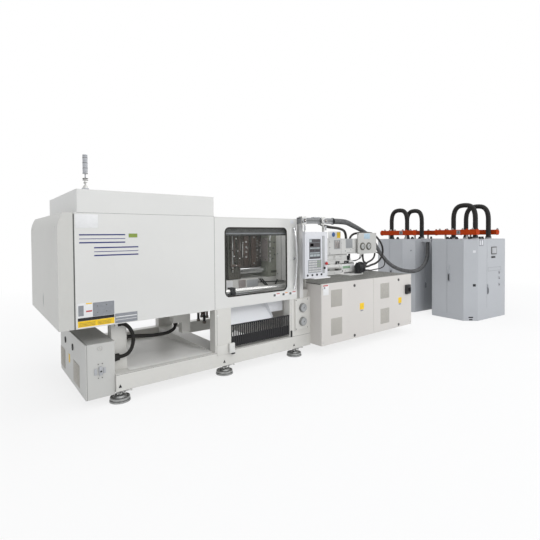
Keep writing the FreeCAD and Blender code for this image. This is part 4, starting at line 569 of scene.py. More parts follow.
ribbed("trunk_sleeve", TRUNK, 76, 15, 3, CONDUIT, ["trunk_conduit"])
for i, points in enumerate(BASE_CONDUITS):
    ribbed(f"base_conduit_{i + 1}", points, 38, 9, 1.6, RUBBER,
           ["base_conduits"] if i == 0 else ())
for i, (diameter, points) in enumerate(HOSES):
    cord(f"injection_hose_{i + 1}", points, diameter, ["injection_hoses"] if i == 0 else ())
for which, spans in LOOPS.items():
    for i, (x, y0, y1, crown) in enumerate(spans):
        ribbed(f"{which}_cabinet_hose_{i + 1}", loop_points(which, x, y0, y1, crown), 90, 14, 2.5,
               RUBBER, ["cabinet_hoses"] if (which, i) == ("front", 0) else ())


# ---------- covers and base
# Y of the fronts that fittings lie on: covers and base beam, gate, bed, operator panel, purge
# guard, drive box and electrical box
FRONT, GATE, BED, PANEL, GUARD, DRIVE, BOX_FRONT = -565, -560, -779, -770, -19.5, -70, -538

p = Piece("cover_fields", face=FRONT)
p.field(-3858, -3665, 1681, 1805, 1.5, WHITE, 0.4)
for x0, x1, z in ((-3828, -3418, 1540), (-3702, -3292, 1420)):
    for low, high in ((0, 12), (38, 44), (72, 84)):
        p.field(x0, x1, z + low, z + high, 0.8, NAVY)
p.field(-3385, -3300, 1590, 1628, 0.8, GREEN)
p.field(-3853, -3527, 770, 997, 1, WHITE, 0.3)
p.field(-3722, -3530, 864, 993, 1.5, GREY_PRINT, sunk=0)
p.field(-3850, -3530, 834, 862, 1.5, BLACK, sunk=0)
p.field(-3850, -3530, 777, 833, 1.5, YELLOW, sunk=0)
for z in (788, 800, 812):
    p.field(-3840, -3700, z, z + 3, 2, BROWN, sunk=0)
    p.field(-3680, -3560, z, z + 3, 2, BROWN, sunk=0)
p.field(-3780, -3728, 912, 925, 1.5, RED, sunk=0)
p.field(-3780, -3728, 984, 995, 1.5, YELLOW, sunk=0)
p.field(-3845, -3800, 880, 975, 1.5, GREY_PRINT, sunk=0)
for x, z in ((-3680, 958), (-3600, 962), (-3680, 898), (-3600, 902)):
    p.stud(x, z, FRONT - 3, FRONT, 4.5, SEAM, bevel=0)
p.field(-3524, -3310, 772, 864, 1.2, GREY_PRINT, 0.3)
p.field(-3518, -3316, 826, 834, 1.7, WHITE, sunk=0)
p.field(-3518, -3316, 800, 804, 1.7, WHITE, sunk=0)
p.done()

p = Piece("cover_trim", face=FRONT)
p.box(-4003.8, -4001, 289, 312, 870, 1014, GREY_SHEET, 0.4)
p.box(-4004.2, -4001, 295, 306, 900, 985, SEAM, 0.2)
p.field(-3879, -3867, 765, 1806, 0.2, SEAM, sunk=5)
p.field(-3846, -2435, 1818, 1820.5, 0.3, SEAM)
p.field(-2434.5, -2431.5, 766, 1818, 0.3, SEAM)
for z in (900, 1290, 1690):
    for y in (-430, 1070):
        p.bar(y, z, -4003.8, -4001, 9, STEEL, bevel=0.4)
p.done()

p = Piece("base_fittings", face=FRONT)
for x in (-3485, -2317, -1252):
    p.plate(
        [(x - 16, FRONT - 1.5, 143), (x + 16, FRONT - 1.5, 143), (x, FRONT - 1.5, 178)],
        (0, 2.5, 0), BLACK, 0.3)
for x in (-3471, -2282, -1199):
    p.rod((x + 8, -530, 92), (x + 92, -566, 104), 6, STEEL)
    p.rod((x + 84, -563, 103), (x + 98, -569, 105), 11, STEEL)
    for dx, dz in ((-34, 0), (34, 0), (0, 0)):
        p.post(x + dx, -547, 76 + dz, 90 + dz, 9, STEEL, sides=6)
p.field(-2415, -2268, 238, 354, 8, CREAM_OLD, 5)
p.field(-2262, -2192, 246, 360, 34, CREAM, 4)
p.field(-2236, -2194, 234, 248, 40, BLACK, 2, sunk=-4)
p.field(-2413, -2391, 672, 702, 7, CREAM, 3)
p.field(-1312, -1284, 272, 354, 8, BLACK, 3)
p.field(-3522, -955, 268, 271, 0.6, SEAM)
for x in (-2433, -1323):
    p.field(x + 22, x + 25, 276, 762, 0.5, SEAM)
for x, z in ((-1228, 742), (-1026, 742), (-1228, 366), (-1026, 366)):
    p.stud(x, z, -588.5, -584, 6, SEAM, bevel=0.8)
GAUGE_X = -1116.5
for z in (638, 455):
    p.stud(GAUGE_X, z, -618, -612, 50, GREY_SHEET, bevel=1.5, sides=48)
    p.ticks(GAUGE_X, -618.6, z, (-45 + k * 22.5 for k in range(13)), 36, 44, 1.2)
    p.rod((GAUGE_X - 8, -619, z - 9), (GAUGE_X + 22, -619, z + 25), 1.6, BLACK, bevel=0, sides=6)
    p.stud(GAUGE_X, z, -620.5, -617, 6, BLACK)
p.done()

p = Piece("hydraulic_block")
p.box(-2412, -2246, -112, -6, 690, 764, DARK_STEEL, 5)
for x, y, low, size, look in (
        (-2392, -84, 560, 15, BLACK), (-2350, -88, 600, 12, BROWN), (-2312, -86, 520, 17, BLACK),
        (-2272, -84, 585, 13, BROWN)):
    p.post(x, y, 692, low, size, look)
    p.post(x, y, 674, 655, size + 7, STEEL, sides=6)
    p.post(x, y, low + 20, low - 8, size + 6, DARK_STEEL, sides=6)
p.bar(-118, 724, -2406, -2252, 11, BROWN)
p.box(-2372, -2318, -134, -106, 632, 676, BROWN, 4)
p.done()

# ---------- electrical box
BOX_SIDE = -3787                  # X of the box's vented side
p = Piece("electrical_box_fittings", face=BOX_FRONT)
for y, z in ((370, 467), (4, 466)):
    p.bar(y, z, BOX_SIDE - 7, BOX_SIDE + 2, 34, RUBBER, bevel=3, sides=36)
    p.bar(y, z, BOX_SIDE - 8, BOX_SIDE - 6, 22, BLACK, bevel=0.5, sides=36)
p.box(BOX_SIDE - 1.5, BOX_SIDE + 1, 152, 212, 262, 352, YELLOW, 0.4)
for y0, y1 in ((412, 646), (-286, -24)):
    p.box(BOX_SIDE - 3, BOX_SIDE + 1, y0, y1, 128, 344, VENT_SIDE, 1.5)
p.field(BOX_SIDE + 11, BOX_SIDE + 14, 84, 598, 0.5, SEAM)
p.box(BOX_SIDE + 11, BOX_SIDE + 14, BOX_FRONT, 655, 597, 598.6, SEAM, 0)
p.ring(
    circle(-3659, BOX_FRONT - 3, 549, 22, 28), circle(-3659, BOX_FRONT - 3, 549, 16, 28), (0, 4, 0),
    STEEL)
p.stud(-3659, 549, BOX_FRONT - 2, BOX_FRONT + 1, 15, CREAM_OLD)
p.field(-3661, -3657, 540, 558, 3, SEAM, sunk=0)
for x0, x1, z0, z1 in ((-3713, -3688, 306, 364), (-3633, -3610, 312, 366)):
    p.field(x0, x1, z0, z1, 9, LAMP, 3)
p.field(-3672, -3641, 300, 380, 22, LAMP, 4)
p.stud(-3656, 338, BOX_FRONT - 25, BOX_FRONT - 20, 8, BLACK)
for x, z in ((-3676, 404), (-3639, 405), (-3676, 273), (-3641, 272)):
    p.stud(x, z, BOX_FRONT - 3, BOX_FRONT + 1, 5, SEAM)
p.bar(-470, 417, -3523, -3498, 41, RUBBER, sides=8, bevel=3)
p.bar(-470, 417, -3500, -3462, 36, RUBBER, end_radius=33, bevel=2)
p.bar(-370, 575, -3373, -3350, 30, RUBBER, sides=8, bevel=3)
p.bar(-470, 743, -3482, -3440, 27, RUBBER, sides=8, bevel=3)
p.post(-2686, -66, 577, 552, 28, RUBBER, sides=8, bevel=3)
p.done()

# ---------- gate and window
p = Piece("gate_gasket", "gate")
p.ring(
    rounded(-2297, -1357, GATE - 0.7, 887, 1699, 64),
    rounded(-2281, -1373, GATE - 0.7, 903, 1683, 48), (0, 12, 0), HOSE)
p.done()

p = Piece("gate_fields", "gate", face=GATE)
for x0, x1, look in ((-1593, -1482, RED), (-1447, -1348, ORANGE_PRINT), (-1329, -1212, RED)):
    p.field(x0, x1, 824, 866, 0.4, WHITE)
    p.field((x0 + x1) / 2, x1 - 3, 853, 863, 0.7, look, sunk=0)
    p.field(x0 + 7, x0 + 42, 828, 857, 0.7, SEAM, sunk=0)
p.field(-1296, -1240, 1752, 1794, 0.5, LILAC)
for z in (905, 1296, 1687):
    p.stud(-1243, z, -575, -559, 17, CHROME, bevel=2)
p.done()

p = Piece("fixed_mould_fittings")
p.box(-1470, -1386, 74, 88, 1176, 1606, BROWN, 3)
p.box(-1501, -1477, 79, 88, 1130, 1650, DARK_STEEL, 2)
p.box(-1380, -1300, 83, 88, 1130, 1650, DARK_STEEL, 2)
for z in (1528, 1487, 1446, 1334, 1288, 1247):
    p.stud(-1373, z, 72, 90, 7, BRIGHT)
p.post(-1373, 72, 1378, 1408, 6, BRIGHT)
p.post(-1320, 70, 1350, 1430, 4.5, BRIGHT)
for z, size in ((1498, 6), (1466, 14), (1311, 14), (1270, 6)):
    p.stud(-1319, z, 64, 90, size, BRIGHT)
for z in (1210, 1575):
    p.stud(-1428, z, 66, 76, 14, STEEL, sides=6)
p.box(-1301, -1292, -70, 82, 1236, 1566, PINK, 3)
for y, z in ((48, 1500), (-30, 1535), (-30, 1262)):
    p.bar(y, z, -1312, -1298, 11, BRIGHT)
for z, high in ((1526, 20), (1466, 58), (1375, 30), (1320, 30), (1258, 66)):
    p.box(-1292, -1262, -104, -82, z - high / 2, z + high / 2, BRIGHT, 5)
p.rod((-1277, -94, 1534), (-1256, -94, 1630), 8, WHITE)
p.box(-1270, -1242, -102, -82, 1622, 1650, STEEL, 4)
for x, z in ((-1205, 1420), (-1180, 1330), (-1215, 1275), (-1190, 1500)):
    p.stud(x, z, -87, -82, 11, SEAM)
p.box(-1250, -1150, -90, -82, 1075, 1106, OLIVE, 3)
p.done()

p = Piece("moving_mould_fittings", "clamp")
p.box(-1757, -1640, 80, 88, 1136, 1644, DARK_STEEL, 3)
p.box(-1624, -1612, 72, 88, 1298, 1512, BRIGHT, 2)
p.box(-1600, -1516, 78, 88, 1180, 1600, BROWN, 3)
for z in (1512, 1440, 1372, 1303):
    p.stud(-1566, z, 62, 80, 14, BRIGHT)
for x, z in ((-1690, 1525), (-1690, 1262), (-1540, 1420)):
    p.stud(x, z, 72, 82, 9, BRIGHT)
for x in (-1748, -1722, -1696):
    p.box(x - 9, x + 9, 66, 84, 1560, 1584, BRIGHT, 3)
for x, low, high in ((-1735, 1400, 1520), (-1713, 1420, 1500), (-1660, 1390, 1500)):
    p.post(x, 74, low, high, 5, STEEL)
p.box(-1955, -1930, -86, -82, 1080, 1700, OLIVE, 2)
for x, low, high, size, look in (
        (-1918, 1180, 1640, 13, DARK_STEEL), (-1892, 1120, 1690, 9, STEEL),
        (-1866, 1260, 1600, 12, BROWN), (-1838, 1160, 1660, 8, OLIVE),
        (-1812, 1220, 1700, 12, DARK_STEEL), (-1784, 1150, 1560, 9, BROWN)):
    p.post(x, -84 - size, low, high, size, look, bevel=2)
    for z in (low + 40, (low + high) / 2, high - 40):
        p.box(x - size - 4, x + size + 4, -88 - 2 * size, -82, z - 9, z + 9, DARK_STEEL, 2)
for x, z in (
        (-1905, 1650), (-1905, 1480), (-1850, 1560), (-1825, 1400), (-1795, 1610), (-1795, 1300),
        (-1880, 1330), (-1850, 1210)):
    p.stud(x, z, -118, -104, 8, BRIGHT)
p.box(-1930, -1776, -112, -82, 1596, 1628, STEEL, 4)
p.box(-1930, -1776, -112, -82, 1190, 1222, BROWN, 4)
p.done()

# dark box across the top of the window: painted shade over the upper tie bar and the mould space
# under the hood, with thin grey and black strips along its front
p = Piece("header_shade_box")
p.box(-2452, -1145, -508, -472, 1607, 1745, SEAM, 4)
p.box(-2452, -1145, -512, -506, 1620, 1632, GREY_PRINT, 1)
p.box(-2452, -1145, -506, -474, 1598, 1608, BLACK, 1)
p.done()

# the inner sheet takes the lighter copy of the cream paint, which is painted light
p = Piece("inner_sheet")
p.box(-1154, -1148, -505, -80, 975, 1700, TRAY_LIT_PAINT, 1)
p.box(-1168, -1148, -511, -503, 975, 1700, TRAY_LIT_PAINT, 2)
p.box(-1156, -1153, -200, -196, 980, 1695, SEAM, 0)
for z in (1060, 1340, 1620):
    p.bar(-120, z, -1162, -1153, 9, STEEL, sides=6)
p.done()

p = Piece("safety_bar")
p.bar(-455, 936, -2345, -968, 28.5, BRIGHT, bevel=2, sides=40)
p.box(-2177, -2108, -496, -414, 892, 980, BLACK, 6)
p.box(-2345, -2300, -496, -414, 859, 975, CREAM_OLD, 5)
p.box(-976, -966, -500, -410, 886, 986, CREAM_OLD, 3)
p.box(-2170, -2116, -490, -420, 859, 900, BLACK, 3)
p.done()

p = Piece("rail_pipes")
p.box(-1657, -1472, -84, -77, 898, 1002, GREY_SHEET, 3)
p.box(-1792, -1680, -84, -77, 888, 1010, PINK, 3)
p.box(-2000, -1900, -108, -77, 882, 1012, WHITE, 5)
for x, dx in ((-1462, 138), (-1424, 128), (-1128, -60)):
    p.rod((x, -92, 1010), (x + dx, -92, 884), 9, HOSE)
    p.box(x - 14, x + 14, -104, -77, 1000, 1018, STEEL, 3)
    p.box(x + dx - 14, x + dx + 14, -104, -77, 876, 894, STEEL, 3)
p.rod((-1460, -90, 962), (-1010, -90, 940), 7, HOSE)
p.box(-1470, -1450, -100, -77, 952, 972, STEEL, 3)
p.box(-1020, -1000, -100, -77, 930, 950, STEEL, 3)
p.done()

# ---------- signal lamp
p = Piece("signal_rings", "signal")
for z, size in (
        (2120, 24.5), (2134, 24.5), (2180, 22.8), (2228, 22.8), (2276, 22.8), (2324, 22.8)):
    p.post(-3757, -520, z, z + 4, size, SEAM, bevel=0.5, sides=36)
p.done()
p = Piece("signal_foot")
p.post(-3757, -520, 2033, 2047, 37, LAMP, end_radius=30, bevel=2, sides=36)
for y, side in ((-556, -1), (-484, 1)):
    p.stud(-3757, 2100, y, y - 6 * side, 9, STEEL)
p.done()

# ---------- operator panel
p = Piece("panel_bezel", "panel", face=PANEL)
p.ring(
    corners(-1207, -935, PANEL - 4, 1100, 1582), corners(-1168, -953, PANEL - 4, 1287, 1552),
    (0, 6, 0), BEZEL)
p.field(-1187, -948, 1112, 1279, 5.5, GREY_PRINT, 1, sunk=-3)
for row in range(5):
    for column in range(9):
        x, z = -1180 + column * 25.2, 1121 + row * 31.5
        look = KEY_GREEN if column > 5 and row > 1 else KEY
        p.field(x, x + 18, z, z + 21, 8.5, look, 1.5, sunk=-5)
p.field(-925, -881, 1096, 1590, 2, GREY_SHEET, 1)
p.field(-922, -919, 1100, 1586, 3, SEAM, sunk=-1)
p.box(-1090, -800, -796, -722, 1030, 1043.5, WHITE, 4)
p.ring(
    circle(-859, PANEL - 2, 1222, 28, 40), circle(-859, PANEL - 2, 1222, 21.5, 40),
    (0, 3, 0), LAMP)
p.stud(-890, 1164, PANEL - 2, PANEL + 1, 19, STEEL, bevel=1, sides=40)
for x in (-1195, -1112, -1029, -946):
    p.stud(x, 1083, PANEL - 1.5, PANEL + 1, 17, LAMP, bevel=0.8, sides=32)
for x, z in ((-1222, 1626), (-840, 1626), (-1222, 1057), (-840, 1057)):
    p.stud(x, z, PANEL - 3, PANEL + 1, 6, STEEL)
p.done()

p = Piece("screen_fields", "panel")
for x0, x1, z0, z1, look in (
        (-1160, -1118, 1508, 1543, SCREEN_PALE), (-1112, -962, 1508, 1543, SCREEN_DARK),
        (-1150, -970, 1446, 1496, SCREEN_DARK), (-1140, -1085, 1455, 1488, BROWN),
        (-1150, -970, 1424, 1436, SCREEN_PALE), (-1150, -1066, 1384, 1412, SCREEN_DARK),
        (-1056, -970, 1384, 1412, SCREEN_DARK), (-1150, -970, 1362, 1373, SCREEN_PALE),
        (-1150, -1092, 1322, 1350, SCREEN_PALE), (-1086, -1034, 1322, 1350, SCREEN_PALE),
        (-1028, -970, 1322, 1350, SCREEN_PALE), (-1160, -962, 1297, 1311, SCREEN_DARK)):
    p.box(x0, x1, -768.7, -767.5, z0, z1, look, 0)
p.done()

p = Piece("overhead_bar_fittings")
p.box(-1276, -703, -764, -761, 1781, 1788, SEAM, 0)
p.box(-1146, -1080, -572, -512, 1819, 1834, BLACK, 4)
p.box(-1075, -1005, -772, -716, 1821, 1833, LAMP, 3)
p.box(-960, -936, -768, -716, 1821, 1836, WHITE, 3)
p.bar(-740, 1784.5, -704, -690, 46, BLACK, bevel=3, sides=36)
p.done()

p = Piece("hanger_rollers", "panel")
for x in (-1267, -892):
    p.stud(x, 1784, -804, -797, 34, LAMP, bevel=2, sides=40)
    p.stud(x, 1784, -808, -802, 22, DARK_STEEL, bevel=2, sides=32)
    p.stud(x, 1784, -811, -806, 8, BRIGHT, sides=6)
    p.box(x - 16, x + 16, -801, -797, 1660, 1720, GREY_SHEET, 3)
p.done()

# ---------- injection unit
p = Piece("guard_fields", "carriage", face=GUARD)
p.field(-10, 276, 1540, 1650, 1, WHITE, 0.4)
p.stud(104, 1604, GUARD - 1.8, GUARD, 38, BLUE, bevel=0.3, sides=48)
p.field(186, 268, 1548, 1642, 1.6, YELLOW, sunk=0)
p.ring(
    corners(117, 264, GUARD - 5, 1366, 1516), corners(131, 250, GUARD - 5, 1378, 1502), (0, 6, 0),
    GREY_SHEET)
for x0, x1 in ((126, 156), (181, 207), (232, 254)):
    p.field(x0, x1, 1376, 1504, 2, PINK, 0.4)
p.field(405, 575, 1372, 1532, 2, GREY_SHEET, 0.6)
for z in range(1386, 1520, 12):
    p.field(415, 565, z, z + 5, 2.6, GREY_PRINT, sunk=-1)
p.field(432, 604, 1299, 1303, 0.8, SEAM)
p.field(288, 291, 1280, 1532, 0.6, SEAM)
p.field(-2, 1, 1280, 1532, 0.6, SEAM)
for x, z, size in (
        (392, 1328, 7), (532, 1342, 7), (590, 1362, 7), (299, 1460, 5), (650, 1345, 5),
        (17, 1485, 6), (17, 1394, 6), (17, 1305, 6), (-600, 1505, 5), (-600, 1300, 5),
        (-300, 1505, 5), (-300, 1300, 5), (708, 1512, 5), (345, 1512, 5)):
    p.stud(x, z, GUARD - 4, GUARD + 1, size, SEAM if size > 5 else STEEL, bevel=1)
p.done()

p = Piece("carriage_fittings", "carriage")
for x0, x1 in ((-30, 120), (140, 290)):
    p.field(x0, x1, 1182, 1258, 7, CREAM, 4)
    for x in (x0 + 14, x1 - 14):
        for z in (1196, 1244):
            p.stud(x, z, -12, -6, 7, STEEL, sides=6)
p.field(310, 440, 1186, 1254, 5, CREAM, 3)
p.box(495, 520, -10, 42, 1169, 1246, BLACK, 4)
for x0, x1 in ((136, 221), (344, 457)):
    p.box(x0, x1, -50, -32, 1112, 1166, BLACK, 6)
    for x in (x0 + 18, x1 - 18):
        p.stud(x, 1139, -62, -48, 10, STEEL, sides=6)
p.box(216, 524, -97, -94.5, 1030, 1112, WHITE, 0.5)
p.box(236, 424, -98, -94.5, 1044, 1086, GREEN_FIELD, 0.5)
p.box(214, 522, -97, -60, 1121, 1133, BLACK, 2)
p.box(222, 236, -97.5, -94.5, 990, 1020, SEAM, 1)
for x in (240, 300, 470, 505):
    p.stud(x, 1006, -101, -94, 8, STEEL, sides=6)
for x0 in (-215, 150):
    p.bar(-62.5, 1083, x0, x0 + 42, 45, CREAM, bevel=4, sides=40)
for x in (-200, -120, 40, 200):
    p.stud(x, 986, -98, -94, 8, STEEL, sides=6)
p.bar(-62.5, 1020, -219, -60, 12, CHROME)
p.done()

p = Piece("drive_plate_fittings", "carriage", face=DRIVE)
for x in (780, 946):
    p.stud(x, 1398, DRIVE - 9, DRIVE + 1, 66, OLIVE, bevel=4, sides=56)
    p.stud(x, 1398, DRIVE - 12, DRIVE - 7, 45, DIAL, bevel=2, sides=48)
    p.ticks(x, DRIVE - 12.6, 1398, (-35 + k * 25 for k in range(11)), 33, 40, 1.3)
    p.rod((x - 6, DRIVE - 13, 1391), (x + 20, DRIVE - 13, 1420), 1.8, BLACK, bevel=0, sides=6)
    p.stud(x, 1398, DRIVE - 15, DRIVE - 11, 6, BLACK)
p.field(824, 984, 1527, 1619, 1.4, BLUE_FIELD, 0.3)
for x in (676, 1147):
    for z in (1286, 1450, 1614):
        p.stud(x, z, DRIVE - 6, DRIVE + 1, 9, STEEL, sides=6)
p.done()

p = Piece("rear_fields")
for x0, x1 in ((-775, -555), (-200, 20), (310, 530), (800, 1020)):
    for z0, z1 in ((625, 855), (240, 470)):
        p.box(x0, x1, 970, 972, z0, z1, VENT, 0.5)
for x in (-420, 88, 620):
    p.box(x - 1.5, x + 1.5, 970, 971.4, 150, 925, SEAM, 0)
for x in (-3640, -3050, -2470):
    p.box(x - 1.5, x + 1.5, 1199, 1200.4, 768, 1814, SEAM, 0)
for x in (-3600, -3090, -3010, -2510):
    for z in (800, 1290, 1780):
        p.stud(x, z, 1199, 1200.8, 9, STEEL, bevel=0.4)
p.box(-3846, -2435, 853.5, 854.5, 1822, 1825, SEAM, 0)
p.done()

p = Piece("motor_fittings", "carriage")
for x, y in ((510, -190), (690, -95)):
    for z in (985, 1005, 1025, 1045, 1065, 1085):
        p.post(x, y, z, z + 8, 53, BLACK, bevel=1.5, sides=44)
    p.post(x, y, 1112, 1135, 34, BLACK, bevel=3, sides=36)
    p.post(x, y, 958.3, 972, 62, BLACK, bevel=3, sides=40)
p.box(478, 545, -258, -232, 1008, 1096, BLACK, 5)
p.stud(512, 1052, -264, -256, 13, BLACK)
p.box(700, 758, -152, -140, 985, 1110, BLACK, 4)
for x, y, z, size in (
        (760, -122, 1050, 24), (760, -68, 1050, 22), (760, -95, 1102, 22), (760, -122, 990, 16)):
    p.bar(y, z, x - 2, x + 26, size, DARK_STEEL, sides=6, bevel=2)
    p.bar(y, z, x + 24, x + 52, size - 3, BLACK, bevel=2)
p.bar(200, 1440, 1091, 1128, 22, STEEL, sides=6, bevel=2)
p.bar(90, 1310, 1091, 1122, 15, STEEL, sides=6, bevel=2)
p.post(1010, 110, 1280, 1246, 22, STEEL, sides=6, bevel=2)
p.post(535, 20, 1170, 1206, 25, STEEL, sides=6, bevel=2)
p.post(456, 20, 1270, 1308, 28, STEEL, sides=6, bevel=2)
for x in (731, 767):
    p.post(x, -60, 1270, 1246, 11, STEEL, sides=6)
for y in (-10, 30):
    p.bar(y, 1150, 560, 584, 11, STEEL, sides=6)
p.done()

p = Piece("barrel_bands", "carriage")
for x in (-900, -770, -640):
    p.bar(317.5, 1390, x, x + 96, 71, STEEL, bevel=3, sides=48)
    p.box(x + 30, x + 66, 292, 343, 1452, 1476, IRON, 4)
p.done()

# ---------- bed
p = Piece("bed_fields", face=BED)
for x0, x1 in ((-775, -555), (310, 530)):
    for z0, z1 in ((625, 855), (240, 470)):
        p.field(x0, x1, z0, z1, 1.2, VENT, 0.5)
p.field(-922, -818, 800, 936, 1, WHITE, 0.3)
p.field(-922, -830, 918, 933, 1.6, RED, sunk=0)
p.field(-912, -884, 884, 910, 1.6, GREY_PRINT, sunk=0)
p.field(-176, -82, 520, 614, 1, YELLOW, 0.3)
p.field(-160, -98, 496, 514, 1, GREY_PRINT, 0.3)
p.field(770, 858, 506, 596, 1, YELLOW, 0.3)
p.field(784, 844, 482, 500, 1, GREY_PRINT, 0.3)
for x in (-291, 777):
    for z in (880, 170):
        p.stud(x, z, BED - 4, BED + 1, 21, BLACK, bevel=1.5, sides=32)
        p.field(x - 2.5, x + 2.5, z - 12, z + 12, 5, STEEL, sunk=-3)
for x in (-930, 1108):
    for z in (880, 170):
        p.stud(x, z, BED - 2.5, BED + 1, 8, STEEL, bevel=1)
p.done()

p = Piece("switch_plate")
p.box(950, 1076, -812, BED + 1, 636, 784, BLACK, 6)
p.stud(1011, 710, -818, -808, 42, BLACK, bevel=2, sides=48)
p.stud(1011, 710, -820, -816, 37, BROWN, bevel=1, sides=48)
p.done()

# ---------- cabinets
for which in CABINETS:
    place, front = cabinet_place(which), which == "front"
    p = Piece(f"{which}_side_door_handle", f"{which}_cabinet_side_door", place)
    p.box(-16, 1, 419, 453, 702, 856, GREY_PRINT, 5)
    p.box(-20, -12, 426, 446, 722, 836, BLACK, 3)
    p.box(-0.8, 1, 474, 478, 94, 1476, GREY_PRINT, 0)
    p.done()
    p = Piece(f"{which}_front_door_fittings", f"{which}_cabinet_front_door", place)
    p.field(528, 556, 466, 598, 16, GREY_PRINT, 5)
    p.field(515, 519, 212, 1468, 0.8, GREY_PRINT)
    p.box(534, 548, -20, -12, 490, 574, BLACK, 3)
    if front:
        p.field(665, 852, 1206, 1352, 9, SEAM, 5)
        p.box(684, 834, -11, -7, 1224, 1334, LAMP, 3)
        p.field(669, 810, 1136, 1172, 6, BLACK, 4)
        for z in (893, 958):
            p.field(554, 1019, z, z + 5, 1, GREY_PRINT)
        for x in (554, 1014):
            p.field(x, x + 5, 893, 963, 1, GREY_PRINT)
        for z in (826, 722, 596):
            p.field(932, 972, z, z + 54, 8, LAMP, 4)
            p.box(940, 964, -12, -6, z + 6, z + 24, BLACK, 2)
            p.box(940, 964, -12, -6, z + 32, z + 48, GREY_PRINT, 2)
        p.field(540, 580, 1150, 1330, 1, CABINET, 0.3)
    p.done()
    p = Piece(f"{which}_cabinet_fields", place=place)
    if front:
        p.field(242, 398, 1373, 1494, 1.2, GREY_PRINT, 0.4)
        p.field(262, 300, 1390, 1476, 1.8, LILAC, sunk=0)
        p.field(330, 378, 1390, 1476, 1.8, LILAC, sunk=0)
    slope = Vector((210, -150, 0)).normalized()
    out = Vector((-150, -210, 0)).normalized()
    marks = ((173, 1267, 30, 30, 2, GREY_PRINT),)
    if front:
        marks = (
            (193, 655, 50, 46, 4, BLACK), (192, 1273, 50, 44, 1, LILAC),
            (132, 64, 80, 22, 2, BLACK), (132, 22, 60, 20, 2, BLACK))
    for along, z, wide, high, proud, look in marks:
        middle = Vector((0, 150, z)) + slope * along
        outline = [middle + slope * a * wide / 2 + Vector((0, 0, b * high / 2)) + out * proud
                   for a, b in ((-1, -1), (1, -1), (1, 1), (-1, 1))]
        p.plate(outline, -out * (proud + 1), look, 0.3)
    for x0 in (91, 961):
        for y in (60, 250, 450, 560, 720):
            p.post(x0 + 49, y, 1678, 1688, 24, IRON, bevel=2)
            p.post(x0 + 49, y, 1688, 1708, 17, IRON, sides=6, bevel=2)
    sign = (261, 350) if front else (209, 303)
    p.box(89.4, 91.5, sign[0] + 8, sign[1] - 8, 1594, 1664, GREY_PRINT, 0.4)
    p.box(88.8, 90.5, sign[0] + 30, sign[1] - 30, 1606, 1650, SEAM, 0)
    for x, y, size in (
            (80, 330, 30), (110, 470, 26), (150, 560, 34), (240, 640, 30), (300, 230, 26),
            (520, 300, 34), (600, 180, 30), (820, 250, 30), (1180, 300, 26)):
        p.post(x, y, ROOF_Z - 1, ROOF_Z + 24, size, BLACK, bevel=3, sides=8)
        p.post(x, y, ROOF_Z + 22, ROOF_Z + 46, size * 0.7, BLACK, bevel=3)
    for x, y0, y1, crown in LOOPS[which]:
        for y in (y0, y1):
            p.post(x, y, ROOF_Z - 1, ROOF_Z + 22, 58, GREY_SHEET, bevel=3, sides=36)
            p.post(x, y, ROOF_Z + 20, ROOF_Z + 48, 52, BLACK, bevel=3, sides=36)
    p.done()


# ---------- camera and studio
IMAGE = 540                       # the photograph's side, in pixels
FOCAL, CENTRE = 387.88, (266.82, 242.91)    # of the solved camera, in pixels
SENSOR = 36                       # mm


def camera():
    data = bpy.data.cameras.new("photo_camera")
    data.sensor_width = SENSOR
    data.sensor_fit = "HORIZONTAL"
    data.lens = FOCAL / IMAGE * SENSOR
    data.shift_x = (IMAGE / 2 - CENTRE[0]) / IMAGE
    data.shift_y = (CENTRE[1] - IMAGE / 2) / IMAGE
    data.clip_end = 200
    obj = linked("photo_camera", data)
    yaw, pitch, roll = (math.radians(a) for a in (37.625, 1.112, -0.45))
    ahead = Vector((
        math.sin(yaw) * math.cos(pitch), math.cos(yaw) * math.cos(pitch), -math.sin(pitch)))
    level = Vector((math.cos(yaw), -math.sin(yaw), 0))
    above = level.cross(ahead)
    right = level * math.cos(roll) + above * math.sin(roll)
    up = above * math.cos(roll) - level * math.sin(roll)
    turn = Matrix((right, up, -ahead)).transposed().to_4x4()
    obj.matrix_world = Matrix.Translation((-4.623, -4.370, 1.600)) @ turn
    bpy.context.scene.camera = obj


def area_light(name, place, target, size, power):
    data = bpy.data.lights.new(name, "AREA")
    data.shape = "RECTANGLE"
    data.size, data.size_y = size
    data.energy = power
    obj = linked(name, data)
    obj.location = place
    obj.rotation_euler = (Vector(target) - Vector(place)).to_track_quat("-Z", "Y").to_euler()


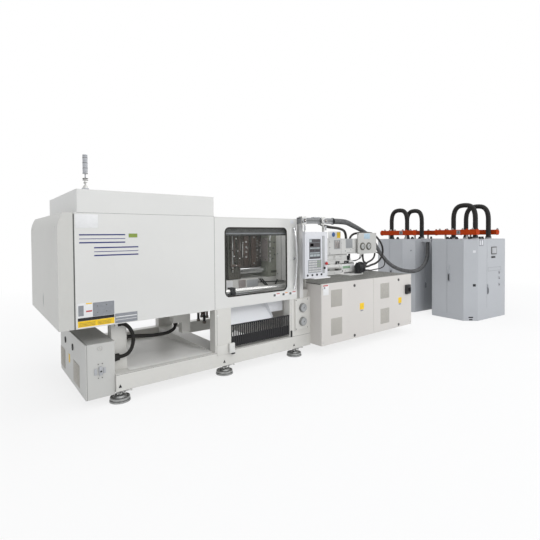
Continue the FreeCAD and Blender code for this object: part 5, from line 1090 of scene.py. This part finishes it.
def seen_directly(tree):
    """1 for rays that show the background: from the camera, a mirror or through glass."""
    path = node(tree, "LightPath").outputs
    total = maths(tree, "MAXIMUM", path["Is Camera Ray"], path["Is Glossy Ray"])
    return maths(tree, "MAXIMUM", total, path["Is Transmission Ray"])


def shown(tree, kind, factor, a, b):
    """Ends a world's or material's tree in a mix of two shaders."""
    mix = node(tree, "MixShader", {0: factor, 1: a.outputs[0], 2: b.outputs[0]})
    node(tree, "Output" + kind, {0: mix.outputs[0]})


def studio():
    world = bpy.data.worlds.new("studio")
    bpy.context.scene.world = world
    tree = cleared(world)
    soft = node(tree, "Background", {"Color": (0.95, 0.97, 1.0, 1), "Strength": 0.68})
    white = node(tree, "Background", {"Color": (1, 1, 1, 1), "Strength": 1.0})
    shown(tree, "World", seen_directly(tree), soft, white)
    area_light("key", (-2.5, -9.5, 7.0), (-0.5, 0, 0.9), (6, 5), 285)
    area_light("fill", (5.5, -7.5, 4.5), (1.5, 0, 0.9), (6, 5), 125)
    area_light("top", (0.0, -1.0, 7.5), (0, 0, 0), (11, 6), 150)
    area_light("rear", (2.0, 8.0, 5.0), (0, 0, 1), (8, 4), 120)


def floor():
    """A wide pale floor that fades to white between 4 and 10 m from the origin."""
    reach, level = 60.0, -0.0005
    mesh = bpy.data.meshes.new("floor")
    mesh.from_pydata([(-reach, -reach, level), (reach, -reach, level), (reach, reach, level),
                      (-reach, reach, level)], [], [(0, 1, 2, 3)])
    obj = linked("floor", mesh)
    m = bpy.data.materials.new("studio_floor")
    tree = cleared(m)
    cloth = node(tree, "BsdfDiffuse", {"Color": (0.86, 0.86, 0.86, 1)})
    glow = node(tree, "Emission")
    place = node(tree, "TexCoord").outputs["Object"]
    distance = node(tree, "VectorMath", {0: place}, operation="LENGTH").outputs["Value"]
    fade = node(tree, "MapRange", {
        "Value": distance, "From Min": 4.0, "From Max": 10.0, "To Min": 0.78, "To Max": 1.0})
    factor = maths(tree, "MULTIPLY", seen_directly(tree), fade.outputs[0])
    shown(tree, "Material", factor, cloth, glow)
    mesh.materials.append(m)


camera()
studio()
floor()
bpy.context.scene.view_settings.view_transform = "Standard"
